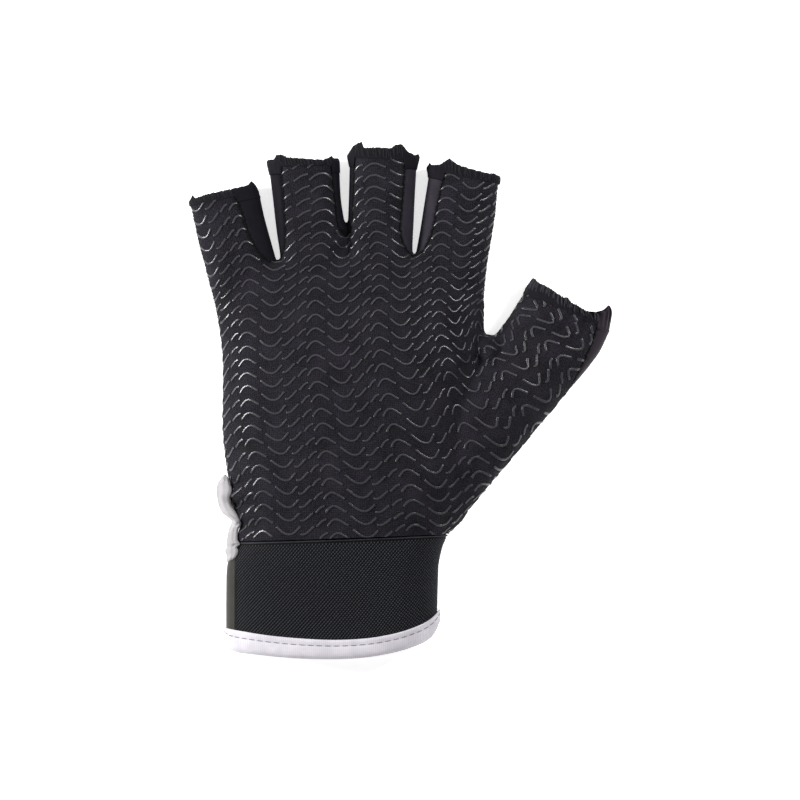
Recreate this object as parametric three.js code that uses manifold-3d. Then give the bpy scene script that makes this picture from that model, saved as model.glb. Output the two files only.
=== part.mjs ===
// A half-finger field hockey glove for the right hand, lying on its back with the palm up.
// Millimetres. +X runs towards the thumb, +Y along the fingers, +Z up out of the palm.
// The origin lies on the table, under the middle of the glove.
import * as THREE from "three";
import Module from "manifold-3d";

const wasm = await Module();
wasm.setup();

// Driving sizes
const CLOTH = 1.2; // wall of the knitted panels
const GAP = 0.3; // between pieces that are sewn to each other
const SEAM_Z = 8; // height of the side seam, where the glove is widest
const CROWN_POWER = 2.4; // roundness of a section above the side seam
const BASE_POWER = 3; // squareness of a section below it
const BASE_PRESS = 1; // how far the weight of the cloth flattens the underside
const PANEL_SIDES = 32; // corners of a section of the hand
const FINGER_SIDES = 22;
const HEM_SIDES = 36;
const CUFF_SIDES = 36;
const HEM_PROUD = 0.4; // a folded hem stands out from its finger
const HEM_INSIDE = 1.5; // and is this far in on its other face
const ELASTIC = 1.6; // woven elastic of the cuff
const CUFF_LIFT = 1.3; // the binding under the cuff holds it off the table
const BINDING = 1.0; // one layer of binding tape
const BINDING_GRIP = 3.2; // how far the elastic goes into the folded binding
const VENT_SLIT = { toX: -52, fromY: -52, toY: -31, lowZ: 6.6, highZ: 9.4 };
const MOUTH_REACH = 3; // how far a hollow is cut on past its opening
const FAR = 200; // reach of a cutting block

// The hand, from the wrist to the finger roots: left and right edges seen from above, crown and base heights
const HAND = [
  { lx: -57.0, ly: -50.9, rx: 17.1, ry: -50.9, top: 23.5, base: 0.9 },
  { lx: -56.3, ly: -45.2, rx: 21.1, ry: -45.2, top: 24.2, base: 0 },
  { lx: -57.6, ly: -41.0, rx: 23.8, ry: -41.0, top: 25.0, base: 0 },
  { lx: -59.9, ly: -35.0, rx: 26.3, ry: -35.0, top: 26.0, base: 0 },
  { lx: -60.7, ly: -28.3, rx: 28.6, ry: -28.3, top: 26.8, base: 0 },
  { lx: -62.8, ly: -22.5, rx: 29.0, ry: -22.5, top: 27.2, base: 0 },
  { lx: -63.9, ly: -11.0, rx: 29.0, ry: -11.0, top: 27.5, base: 0 },
  { lx: -63.9, ly: 0.0, rx: 29.2, ry: 0.0, top: 27.4, base: 0 },
  { lx: -63.9, ly: 14.2, rx: 29.7, ry: 14.2, top: 26.2, base: 0 },
  { lx: -65.3, ly: 26.8, rx: 30.3, ry: 26.8, top: 23.5, base: 0 },
  { lx: -67.1, ly: 35.8, rx: 30.3, ry: 37.0, top: 20.2, base: 0 },
  { lx: -68.9, ly: 42.5, rx: 30.8, ry: 45.5, top: 17.6, base: 0 },
  { lx: -69.9, ly: 47.0, rx: 31.2, ry: 51.3, top: 15.4, base: 0.6 },
  { lx: -69.6, ly: 48.6, rx: 30.9, ry: 53.6, top: 13.0, base: 2.4 },
];

// Each finger: rows from inside the hand to its opening, and the rim of its folded hem. An ear is a
// place where the rim stands on: across runs from -1 at the left edge to 1 at the right.
const DIGITS = {
  little: {
    rows: [
      { lx: -66.6, ly: 34.0, rx: -41.6, ry: 36.0, top: 15.5 },
      { lx: -70.3, ly: 48.1, rx: -44.7, ry: 50.5, top: 15.2 },
      { lx: -72.5, ly: 56.0, rx: -46.9, ry: 58.5, top: 14.8 },
      { lx: -74.2, ly: 64.2, rx: -49.3, ry: 67.5, top: 14.4 },
      { lx: -75.0, ly: 67.9, rx: -50.5, ry: 73.3, top: 14.0 },
    ],
    hem: { lx: -76.0, ly: 72.4, rx: -52.3, ry: 77.6, top: 13.6 },
    ears: [
      { across: -0.97, rise: 1.7, width: 0.1 },
      { across: 0.92, rise: 1.4, width: 0.12 },
    ],
  },
  ring: {
    rows: [
      { lx: -42.3, ly: 37.0, rx: -17.1, ry: 39.4, top: 16.4 },
      { lx: -43.4, ly: 52.0, rx: -18.4, ry: 53.8, top: 15.8 },
      { lx: -44.4, ly: 60.0, rx: -19.6, ry: 60.8, top: 15.4 },
      { lx: -45.8, ly: 72.0, rx: -21.2, ry: 72.6, top: 15.0 },
      { lx: -47.0, ly: 81.5, rx: -21.8, ry: 82.3, top: 14.6 },
    ],
    hem: { lx: -48.0, ly: 86.4, rx: -22.2, ry: 86.6, top: 14.2 },
    ears: [
      { across: -0.55, rise: 1.6, width: 0.16 },
      { across: 0.8, rise: 1.2, width: 0.14 },
    ],
  },
  middle: {
    rows: [
      { lx: -18.9, ly: 39.4, rx: 5.2, ry: 39.4, top: 16.6 },
      { lx: -19.3, ly: 53.8, rx: 5.3, ry: 54.2, top: 16.0 },
      { lx: -18.8, ly: 62.8, rx: 5.2, ry: 62.8, top: 15.6 },
      { lx: -18.6, ly: 74.0, rx: 5.4, ry: 74.0, top: 15.2 },
      { lx: -18.2, ly: 84.4, rx: 5.9, ry: 83.3, top: 14.8 },
    ],
    hem: { lx: -18.9, ly: 89.9, rx: 7.0, ry: 88.6, top: 14.4 },
    ears: [
      { across: -0.66, rise: 3.5, width: 0.12 },
      { across: 0.42, rise: 1.8, width: 0.14 },
      { across: 0.97, rise: 0.8, width: 0.1 },
    ],
  },
  index: {
    rows: [
      { lx: 3.9, ly: 36.5, rx: 30.1, ry: 35.8, top: 16.0 },
      { lx: 5.0, ly: 52.4, rx: 31.7, ry: 50.9, top: 15.6 },
      { lx: 7.0, ly: 61.6, rx: 33.2, ry: 59.5, top: 15.2 },
      { lx: 8.8, ly: 71.1, rx: 34.5, ry: 68.0, top: 14.8 },
      { lx: 10.3, ly: 80.5, rx: 35.1, ry: 75.4, top: 14.4 },
    ],
    hem: { lx: 9.9, ly: 84.9, rx: 35.9, ry: 80.0, top: 14.0 },
    ears: [
      { across: -0.97, rise: 0.8, width: 0.1 },
      { across: -0.4, rise: 3.2, width: 0.2 },
    ],
  },
  thumb: {
    rows: [
      { lx: -2.0, ly: -18.5, rx: 18.9, ry: -47.3, top: 19.5 },
      { lx: 11.0, ly: -4.5, rx: 27.5, ry: -36.2, top: 21.5 },
      { lx: 20.4, ly: 7.7, rx: 39.6, ry: -21.9, top: 22.0 },
      { lx: 28.0, ly: 16.4, rx: 51.6, ry: -7.6, top: 21.0 },
      { lx: 34.6, ly: 23.8, rx: 60.6, ry: 3.2, top: 19.2 },
      { lx: 39.6, ly: 30.4, rx: 68.6, ry: 12.6, top: 17.8 },
      { lx: 43.2, ly: 36.3, rx: 73.5, ry: 19.6, top: 16.8 },
      { lx: 45.9, ly: 40.5, rx: 76.1, ry: 26.8, top: 16.0 },
    ],
    hem: { lx: 47.6, ly: 43.2, rx: 76.3, ry: 32.0, top: 15.4 },
    ears: [
      { across: -0.97, rise: 0.8, width: 0.1 },
      { across: 0.1, rise: -1.0, width: 0.3 },
      { across: 0.55, rise: -2.6, width: 0.3 },
      { across: 0.97, rise: 1.0, width: 0.1 },
    ],
  },
};

// Seams between the palm and the strips along the fingers, seen from above. left is on the finger to
// the left of the gap, from its opening down; root runs under the gap; right goes up the next finger.
const FOURCHETTES = {
  fourchette_little_ring: {
    left: [
      [-61.5, 79.5],
      [-60.3, 74.7],
      [-57.8, 69.7],
      [-54.2, 58.9],
      [-50.2, 52.4],
    ],
    root: [
      [-48.4, 48.6],
      [-45.9, 46.6],
      [-43.2, 48.2],
    ],
    right: [
      [-42.5, 52.0],
      [-41.5, 58.9],
      [-41.9, 68.6],
      [-43.4, 88.0],
    ],
  },
  fourchette_ring_middle: {
    left: [
      [-25.2, 89.0],
      [-23.9, 76.9],
      [-22.9, 66.0],
      [-22.3, 58.1],
    ],
    root: [
      [-21.2, 52.6],
      [-19.2, 50.6],
      [-17.4, 52.6],
    ],
    right: [
      [-16.9, 58.1],
      [-16.6, 71.8],
      [-15.6, 93.0],
    ],
  },
  fourchette_middle_index: {
    left: [
      [2.0, 93.0],
      [1.3, 76.1],
      [0.5, 67.1],
      [0.2, 61.0],
    ],
    root: [
      [1.8, 54.6],
      [4.8, 50.8],
      [7.9, 52.6],
    ],
    right: [
      [9.9, 56.0],
      [13.5, 70.7],
      [15.3, 78.7],
      [17.8, 90.0],
    ],
  },
};

// The seam on the palm side of the strip along the thumb's outer edge, from its opening down
const THUMB_SEAM = [
  [73.4, 38.0],
  [71.8, 29.3],
  [69.7, 21.8],
  [66.1, 13.5],
  [61.0, 3.8],
  [55.9, -3.2],
];
const THUMB_STRIP_OUTSIDE = [
  [62.0, -12.0],
  [95.0, 10.0],
  [95.0, 38.0],
];

// The left and right edges of the cuff. down is the share of the way from its top to its lower edge.
const CUFF = [
  { down: 0, lx: -56.8, rx: 17.0 },
  { down: 0.12, lx: -57.6, rx: 15.8 },
  { down: 0.2, lx: -59.2, rx: 15.3 },
  { down: 0.27, lx: -61.2, rx: 15.0 },
  { down: 0.36, lx: -61.9, rx: 14.6 },
  { down: 0.65, lx: -62.1, rx: 14.0 },
  { down: 1, lx: -62.1, rx: 14.2 },
];
const CUFF_TOP_Y = -51.2;
const CUFF_CROWN = 23.0;
const STRAP_EDGE_X = -59.2; // the strap wraps the left edge as far as this, on the palm side
const STRAP_END_X = 8; // and ends here on the back

// The lower edge of the cuff seen from above: where the binding starts, and where it ends
const RIM = [
  { x: -62.1, start: -82.4, end: -88.4 },
  { x: -50.2, start: -84.1, end: -91.4 },
  { x: -35.8, start: -85.5, end: -92.8 },
  { x: -21.4, start: -86.2, end: -93.2 },
  { x: -7.0, start: -85.1, end: -92.2 },
  { x: 5.0, start: -81.9, end: -89.2 },
  { x: 14.2, start: -77.0, end: -83.6 },
];

// The bound edge of the side vent, a taped edge that ripples down to the cuff: its middle and half sizes
const VENT_BINDING = [
  { x: -62.9, y: -27.4, z: 9.0, wide: 1.3, thick: 0.8 },
  { x: -63.2, y: -30.1, z: 9.6, wide: 2.6, thick: 1.3 },
  { x: -63.3, y: -32.9, z: 10.2, wide: 3.0, thick: 1.5 },
  { x: -63.1, y: -35.5, z: 10.2, wide: 2.9, thick: 1.5 },
  { x: -62.3, y: -38.3, z: 9.6, wide: 2.8, thick: 1.4 },
  { x: -60.8, y: -41.2, z: 9.0, wide: 2.5, thick: 1.4 },
  { x: -59.2, y: -43.4, z: 8.8, wide: 2.1, thick: 1.4 },
  { x: -58.8, y: -45.6, z: 9.2, wide: 2.3, thick: 1.5 },
  { x: -59.7, y: -48.6, z: 9.8, wide: 2.3, thick: 1.4 },
  { x: -59.9, y: -51.5, z: 10.2, wide: 2.6, thick: 1.4 },
  { x: -60.6, y: -54.4, z: 10.2, wide: 1.9, thick: 1.3 },
  { x: -61.6, y: -57.2, z: 9.8, wide: 1.2, thick: 1.1 },
  { x: -62.5, y: -58.9, z: 9.4, wide: 0.5, thick: 0.6 },
];
const VENT_SIDES = 12;

// Colours from the object: near-black knit, smooth strips, woven elastic, and white binding
const FINISHES = {
  palm_knit: { color: "#26252b", roughness: 0.85 },
  back_knit: { color: "#222127", roughness: 0.85 },
  smooth_strip: { color: "#2c2a33", roughness: 0.6 },
  hem_thread: { color: "#1c1b20", roughness: 0.8 },
  woven_elastic: { color: "#202127", roughness: 0.75 },
  strap: { color: "#4a4943", roughness: 0.5 },
  binding: { color: "#e4e0e8", roughness: 0.7 },
};

// A flat list of points and triangles as a solid, turned the right way out
function solidOf(points, triangles) {
  const make = (faces) =>
    new wasm.Manifold(
      new wasm.Mesh({
        numProp: 3,
        vertProperties: new Float32Array(points.flat()),
        triVerts: new Uint32Array(faces.flat()),
      }),
    );
  const solid = make(triangles);
  if (solid.volume() > 0) return solid;
  return make(triangles.map(([a, b, c]) => [a, c, b]));
}

// A three.js geometry whose shared corners are merged, as a solid
function solidOfGeometry(geometry) {
  const place = geometry.getAttribute("position");
  const seen = new Map();
  const points = [];
  const corner = [];
  for (let i = 0; i < place.count; i++) {
    const point = [place.getX(i), place.getY(i), place.getZ(i)];
    const key = point.map((value) => value.toFixed(4)).join(" ");
    if (!seen.has(key)) {
      seen.set(key, points.length);
      points.push(point);
    }
    corner.push(seen.get(key));
  }
  const order = geometry.index ? [...geometry.index.array] : corner.keys();
  const used = [...order].map((i) => corner[i]);
  const triangles = [];
  for (let i = 0; i < used.length; i += 3) triangles.push(used.slice(i, i + 3));
  return solidOf(points, triangles);
}

// One corner of a soft section between two edge points. turn runs round it from the right edge over
// the crown, and inset moves the corner in through the cloth.
function sectionPoint(row, turn, inset) {
  const across = Math.sign(Math.cos(turn));
  const power = Math.sin(turn) > 0 ? CROWN_POWER : BASE_POWER;
  const out = across * Math.abs(Math.cos(turn)) ** (2 / power);
  const up = Math.abs(Math.sin(turn)) ** (2 / power);
  const half = new THREE.Vector2(row.rx - row.lx, row.ry - row.ly).multiplyScalar(0.5);
  const share = (out * (half.length() - inset)) / half.length();
  const base = (row.base ?? 0) + inset;
  const z =
    Math.sin(turn) > 0
      ? SEAM_Z + (row.top - inset - SEAM_Z) * up
      : Math.max(base, SEAM_Z - (SEAM_Z - base + BASE_PRESS) * up);
  return [
    (row.lx + row.rx) / 2 + half.x * share,
    (row.ly + row.ry) / 2 + half.y * share,
    z,
  ];
}

function turnsOf(sides) {
  return Array.from({ length: sides }, (_, i) => ((i + 0.5) * 2 * Math.PI) / sides);
}

// Rings of corners joined into a closed surface: capped at both ends, or joined end to start
function loft(rings, capped) {
  const sides = rings[0].length;
  const points = rings.flat();
  const triangles = [];
  const lengths = capped ? rings.length - 1 : rings.length;
  for (let i = 0; i < lengths; i++) {
    const here = i * sides;
    const next = ((i + 1) % rings.length) * sides;
    for (let j = 0; j < sides; j++) {
      const k = (j + 1) % sides;
      triangles.push([here + j, here + k, next + k], [here + j, next + k, next + j]);
    }
  }
  if (capped) {
    for (const [start, turned] of [
      [0, true],
      [(rings.length - 1) * sides, false],
    ]) {
      const ring = points.slice(start, start + sides);
      const middle = [0, 1, 2].map((axis) => ring.reduce((sum, p) => sum + p[axis], 0) / sides);
      const hub = points.push(middle) - 1;
      for (let j = 0; j < sides; j++) {
        const pair = [start + j, start + ((j + 1) % sides)];
        triangles.push(turned ? [hub, pair[1], pair[0]] : [hub, pair[0], pair[1]]);
      }
    }
  }
  return solidOf(points, triangles);
}

// A row moved on past the end of a table, in line with its last two rows
function carriedOn(before, last, distance) {
  const step = new THREE.Vector2(
    (last.lx + last.rx - before.lx - before.rx) / 2,
    (last.ly + last.ry - before.ly - before.ry) / 2,
  ).setLength(distance);
  return {
    ...last,
    lx: last.lx + step.x,
    ly: last.ly + step.y,
    rx: last.rx + step.x,
    ry: last.ry + step.y,
  };
}

function tube(rows, sides, inset) {
  return loft(
    rows.map((row) => turnsOf(sides).map((turn) => sectionPoint(row, turn, inset))),
    true,
  );
}

// The whole sewn hand without hems: the outer form less the hollow inside it
function handShell() {
  const outside = [tube(HAND, PANEL_SIDES, 0)];
  const wrist = carriedOn(HAND[1], HAND[0], MOUTH_REACH);
  const root = HAND.at(-1);
  const insideRoot = { ...root, ly: root.ly - CLOTH, ry: root.ry - CLOTH };
  const inside = [tube([wrist, ...HAND.slice(0, -1), insideRoot], PANEL_SIDES, CLOTH)];
  for (const { rows } of Object.values(DIGITS)) {
    const mouth = carriedOn(rows.at(-2), rows.at(-1), MOUTH_REACH);
    outside.push(tube(rows, FINGER_SIDES, 0));
    inside.push(tube([...rows, mouth], FINGER_SIDES, CLOTH));
  }
  const join = (solids) => solids.reduce((sum, solid) => sum.add(solid));
  return join(outside).subtract(join(inside));
}

// A block that cuts from the table up, with the given outline seen from above
function prism(outline) {
  const shape = new THREE.Shape(outline.map(([x, y]) => new THREE.Vector2(x, y)));
  const geometry = new THREE.ExtrudeGeometry(shape, { depth: FAR, bevelEnabled: false });
  geometry.translate(0, 0, -FAR / 2);
  return solidOfGeometry(geometry);
}

function block(low, high) {
  const size = high.map((value, axis) => value - low[axis]);
  const geometry = new THREE.BoxGeometry(...size);
  geometry.translate(...high.map((value, axis) => (value + low[axis]) / 2));
  return solidOfGeometry(geometry);
}

const above = (z) => block([-FAR, -FAR, z], [FAR, FAR, FAR]);
const below = (z) => block([-FAR, -FAR, -FAR], [FAR, FAR, z]);

// The outline of a fourchette's cut, grown on every side by grow
function fourchetteOutline({ left, root, right }, grow) {
  return [
    ...left.map(([x, y]) => [x - grow, y]),
    ...root.map(([x, y]) => [x, y - grow]),
    ...right.map(([x, y]) => [x + grow, y]),
  ];
}

function thumbStripOutline(grow) {
  return [...THUMB_SEAM.map(([x, y]) => [x - grow, y]), ...THUMB_STRIP_OUTSIDE];
}

// The panels and strips of the hand, cut from the sewn shell
function handPieces() {
  const shell = handShell();
  const vent = block(
    [-FAR, VENT_SLIT.fromY, VENT_SLIT.lowZ],
    [VENT_SLIT.toX, VENT_SLIT.toY, VENT_SLIT.highZ],
  );
  const pieces = {};
  let panels = shell.subtract(vent);
  for (const [name, seam] of Object.entries(FOURCHETTES)) {
    pieces[name] = shell.intersect(prism(fourchetteOutline(seam, 0)));
    panels = panels.subtract(prism(fourchetteOutline(seam, GAP)));
  }
  pieces.thumb_strip = shell.intersect(prism(thumbStripOutline(0)));
  panels = panels.subtract(prism(thumbStripOutline(GAP)));
  pieces.palm_panel = panels.intersect(above(SEAM_Z + GAP / 2));
  pieces.back_panel = panels.intersect(below(SEAM_Z - GAP / 2));
  return pieces;
}

// How far the rim of a hem stands on beyond its line at one place across the finger
function rimRise(ears, across) {
  return ears.reduce(
    (sum, ear) => sum + ear.rise * Math.exp(-(((across - ear.across) / ear.width) ** 2)),
    0,
  );
}

// The folded hem round one opening, with the ears that its seams make
function hem({ rows, hem: rim, ears }) {
  const opening = rows.at(-1);
  const start = carriedOn(rows.at(-2), opening, GAP);
  const along = new THREE.Vector2(
    rim.lx + rim.rx - opening.lx - opening.rx,
    rim.ly + rim.ry - opening.ly - opening.ry,
  ).normalize();
  const halfway = {
    lx: (start.lx + rim.lx) / 2,
    ly: (start.ly + rim.ly) / 2,
    rx: (start.rx + rim.rx) / 2,
    ry: (start.ry + rim.ry) / 2,
    top: (start.top + rim.top) / 2,
  };
  const ring = (row, inset, risen) =>
    turnsOf(HEM_SIDES).map((turn) => {
      const [x, y, z] = sectionPoint(row, turn, inset);
      const across = Math.sign(Math.cos(turn)) * Math.abs(Math.cos(turn)) ** (2 / CROWN_POWER);
      const rise = risen ? rimRise(ears, across) : 0;
      return [x + along.x * rise, y + along.y * rise, z];
    });
  // The base of the proud outer face is lifted to stay on the table
  const onTable = (row) => ({ ...row, base: HEM_PROUD });
  return loft(
    [
      ring(onTable(start), -HEM_PROUD, false),
      ring(onTable(halfway), -HEM_PROUD, false),
      ring(onTable(rim), -HEM_PROUD, true),
      ring(rim, HEM_INSIDE, true),
      ring(start, HEM_INSIDE, false),
    ],
    false,
  );
}

// The lower edge of the cuff at one place across it
function rimAt(x, column) {
  const next = Math.max(
    1,
    RIM.findIndex((row) => row.x >= x),
  );
  const after = x >= RIM.at(-1).x ? RIM.at(-1) : RIM[next];
  const before = x >= RIM.at(-1).x ? RIM.at(-2) : RIM[next - 1];
  const share = THREE.MathUtils.clamp((x - before.x) / (after.x - before.x), 0, 1);
  return THREE.MathUtils.lerp(before[column], after[column], share);
}

// One ring of the cuff. yAt says where along the glove each corner lies.
function cuffRing(edges, inset, yAt) {
  const row = { lx: edges.lx, ly: 0, rx: edges.rx, ry: 0, top: CUFF_CROWN, base: CUFF_LIFT };
  return turnsOf(CUFF_SIDES).map((turn) => {
    const [x, , z] = sectionPoint(row, turn, inset);
    return [x, yAt(x), z];
  });
}

function cuffBand() {
  const yAt = (down) => (x) =>
    THREE.MathUtils.lerp(CUFF_TOP_Y, rimAt(x, "start") - BINDING_GRIP, down);
  const outer = CUFF.map((row) => cuffRing(row, 0, yAt(row.down)));
  const inner = CUFF.map((row) => cuffRing(row, ELASTIC, yAt(row.down))).reverse();
  return loft([...outer, ...inner], false);
}

// The strap wraps the left edge and most of the back; the woven elastic is the rest of the band
function cuffPieces() {
  const band = cuffBand();
  const leftOf = (x, top) => block([-FAR, -FAR, -FAR], [x, FAR, top]);
  const half = GAP / 2;
  const strapSide = (edge, split) =>
    leftOf(STRAP_EDGE_X + edge, FAR).add(leftOf(STRAP_END_X + edge, SEAM_Z + split));
  return {
    wrist_strap: band.intersect(strapSide(-half, 0)),
    cuff_elastic: band.subtract(strapSide(half, half)),
  };
}

// Tape folded round the lower edge of the cuff, with the edge inside the fold
function cuffBinding() {
  const edges = CUFF.at(-1);
  const start = (x) => rimAt(x, "start");
  const end = (x) => rimAt(x, "end");
  const fold = (x) => start(x) - BINDING_GRIP - GAP;
  const outside = -GAP - BINDING;
  const inside = ELASTIC + GAP + BINDING;
  const softened = (x) => end(x) + BINDING;
  return loft(
    [
      cuffRing(edges, outside, start),
      cuffRing(edges, outside, softened),
      cuffRing(edges, outside + BINDING, end),
      cuffRing(edges, inside - BINDING, end),
      cuffRing(edges, inside, softened),
      cuffRing(edges, inside, start),
      cuffRing(edges, ELASTIC + GAP, start),
      cuffRing(edges, ELASTIC + GAP, fold),
      cuffRing(edges, -GAP, fold),
      cuffRing(edges, -GAP, start),
    ],
    false,
  );
}

function ventBinding() {
  return loft(
    VENT_BINDING.map(({ x, y, z, wide, thick }) =>
      turnsOf(VENT_SIDES).map((turn) => [
        x + wide * Math.cos(turn),
        y,
        z + thick * Math.sin(turn),
      ]),
    ),
    true,
  );
}

function meshOf(name, solid, finish) {
  const { numProp, vertProperties, triVerts } = solid.getMesh();
  const count = vertProperties.length / numProp;
  const place = new Float32Array(count * 3);
  for (let i = 0; i < count; i++) {
    place.set(vertProperties.subarray(i * numProp, i * numProp + 3), i * 3);
  }
  const geometry = new THREE.BufferGeometry();
  geometry.setAttribute("position", new THREE.BufferAttribute(place, 3));
  geometry.setIndex(new THREE.BufferAttribute(new Uint32Array(triVerts), 1));
  geometry.computeVertexNormals();
  const mesh = new THREE.Mesh(
    geometry,
    new THREE.MeshStandardMaterial({ ...FINISHES[finish], metalness: 0 }),
  );
  mesh.name = name;
  return mesh;
}

const glove = new THREE.Group();
const hand = handPieces();
glove.add(meshOf("palm_panel", hand.palm_panel, "palm_knit"));
glove.add(meshOf("back_panel", hand.back_panel, "back_knit"));
for (const name of [...Object.keys(FOURCHETTES), "thumb_strip"]) {
  glove.add(meshOf(name, hand[name], "smooth_strip"));
}
for (const [name, digit] of Object.entries(DIGITS)) {
  glove.add(meshOf(`${name}_hem`, hem(digit), "hem_thread"));
}
const cuff = cuffPieces();
glove.add(meshOf("cuff_elastic", cuff.cuff_elastic, "woven_elastic"));
glove.add(meshOf("wrist_strap", cuff.wrist_strap, "strap"));
glove.add(meshOf("cuff_binding", cuffBinding(), "binding"));
glove.add(meshOf("vent_binding", ventBinding(), "binding"));

export default glove;
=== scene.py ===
"""A half-finger field hockey glove for the right hand, lying on its back with the palm up."""

import math
from collections import defaultdict, namedtuple

import bmesh
import bpy
import numpy as np
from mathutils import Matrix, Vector
from mathutils.bvhtree import BVHTree
from mathutils.kdtree import KDTree


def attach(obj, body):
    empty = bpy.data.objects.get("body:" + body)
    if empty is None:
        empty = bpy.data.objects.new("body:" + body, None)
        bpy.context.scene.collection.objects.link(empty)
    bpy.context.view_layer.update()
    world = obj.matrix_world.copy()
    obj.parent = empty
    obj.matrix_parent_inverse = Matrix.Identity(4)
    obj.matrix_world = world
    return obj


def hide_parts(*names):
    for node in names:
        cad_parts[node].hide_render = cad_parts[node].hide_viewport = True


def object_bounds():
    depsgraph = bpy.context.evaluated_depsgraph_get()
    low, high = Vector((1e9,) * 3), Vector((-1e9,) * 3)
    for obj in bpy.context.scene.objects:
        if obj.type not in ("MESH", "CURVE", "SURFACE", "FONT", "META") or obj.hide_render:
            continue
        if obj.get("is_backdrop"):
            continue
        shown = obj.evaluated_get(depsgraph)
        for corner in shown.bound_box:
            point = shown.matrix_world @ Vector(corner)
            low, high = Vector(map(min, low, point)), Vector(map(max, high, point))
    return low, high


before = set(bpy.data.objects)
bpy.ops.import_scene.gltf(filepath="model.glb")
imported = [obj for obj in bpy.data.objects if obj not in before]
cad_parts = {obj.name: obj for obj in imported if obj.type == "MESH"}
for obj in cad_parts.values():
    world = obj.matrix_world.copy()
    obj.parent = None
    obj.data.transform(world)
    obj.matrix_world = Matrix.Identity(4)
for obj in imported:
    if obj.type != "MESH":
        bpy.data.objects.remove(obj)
cad_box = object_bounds()

MM = 0.001

# Driving sizes in millimetres
CLOTH = 1.2  # wall of the knitted panels
SEAM_Z = 8.0  # height of the side seam, where the glove is widest
CROWN_POWER = 2.4  # roundness of a section above the side seam
BASE_POWER = 3.0  # squareness of a section below it
BASE_PRESS = 1.0  # how far the weight of the cloth flattens the underside
MOUTH_REACH = 6.0  # how far a tube runs on before its opening is cut
VOXEL = 0.75  # grain of the joined body
SEAM_ROLL = 1.5  # how wide a seam draws the cloth in
SEAM_DEPTH = 0.5
WRIST_Y = -50.9  # height of the wrist seam at its left end
WRIST_RISE = 0.0355  # how steeply it climbs to the thumb's side
WALE = 0.75  # one rib of the knit
COURSE = 0.62  # one row of its loops
TAPE_RIB = 0.72  # one rib of the white tape, drawn at the finest that shows: the real one is 0.4

Row = namedtuple("Row", "lx ly rx ry top base", defaults=[0.0])
Digit = namedtuple("Digit", "rows hem rim")
Fold = namedtuple("Fold", "x0 y0 x1 y1 width lift")

# The hand from the wrist to the finger roots: left and right edges seen from above, crown and base
HAND = [
    Row(-58.9, -50.9, 17.3, -48.2, 23.9, 0.9),
    Row(-58.8, -48.3, 18.6, -46.4, 24.1, 0.4),
    Row(-57.6, -44.6, 21.5, -44.6, 24.4),
    Row(-59.2, -41.3, 23.7, -41.3, 25.0),
    Row(-61.2, -36.5, 25.8, -36.5, 25.8),
    Row(-61.6, -31.0, 27.7, -31.0, 26.5),
    Row(-62.8, -22.5, 29.0, -22.5, 27.2),
    Row(-63.9, -11.0, 29.0, -11.0, 27.5),
    Row(-63.9, 0.0, 29.2, 0.0, 27.4),
    Row(-63.9, 14.2, 29.7, 14.2, 26.2),
    Row(-65.3, 26.8, 30.3, 26.8, 23.5),
    Row(-67.1, 35.8, 30.3, 37.0, 20.2),
    Row(-68.9, 42.5, 30.8, 45.5, 17.6),
    Row(-69.9, 47.0, 31.2, 51.3, 15.4, 0.6),
    Row(-69.6, 48.6, 30.9, 53.6, 13.0, 2.4),
]

# The web between the thumb and the hand: its middle and its half sizes
WEB = ((31.4, 17.4, 10.0), (6.4, 6.4, 8.6))

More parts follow.
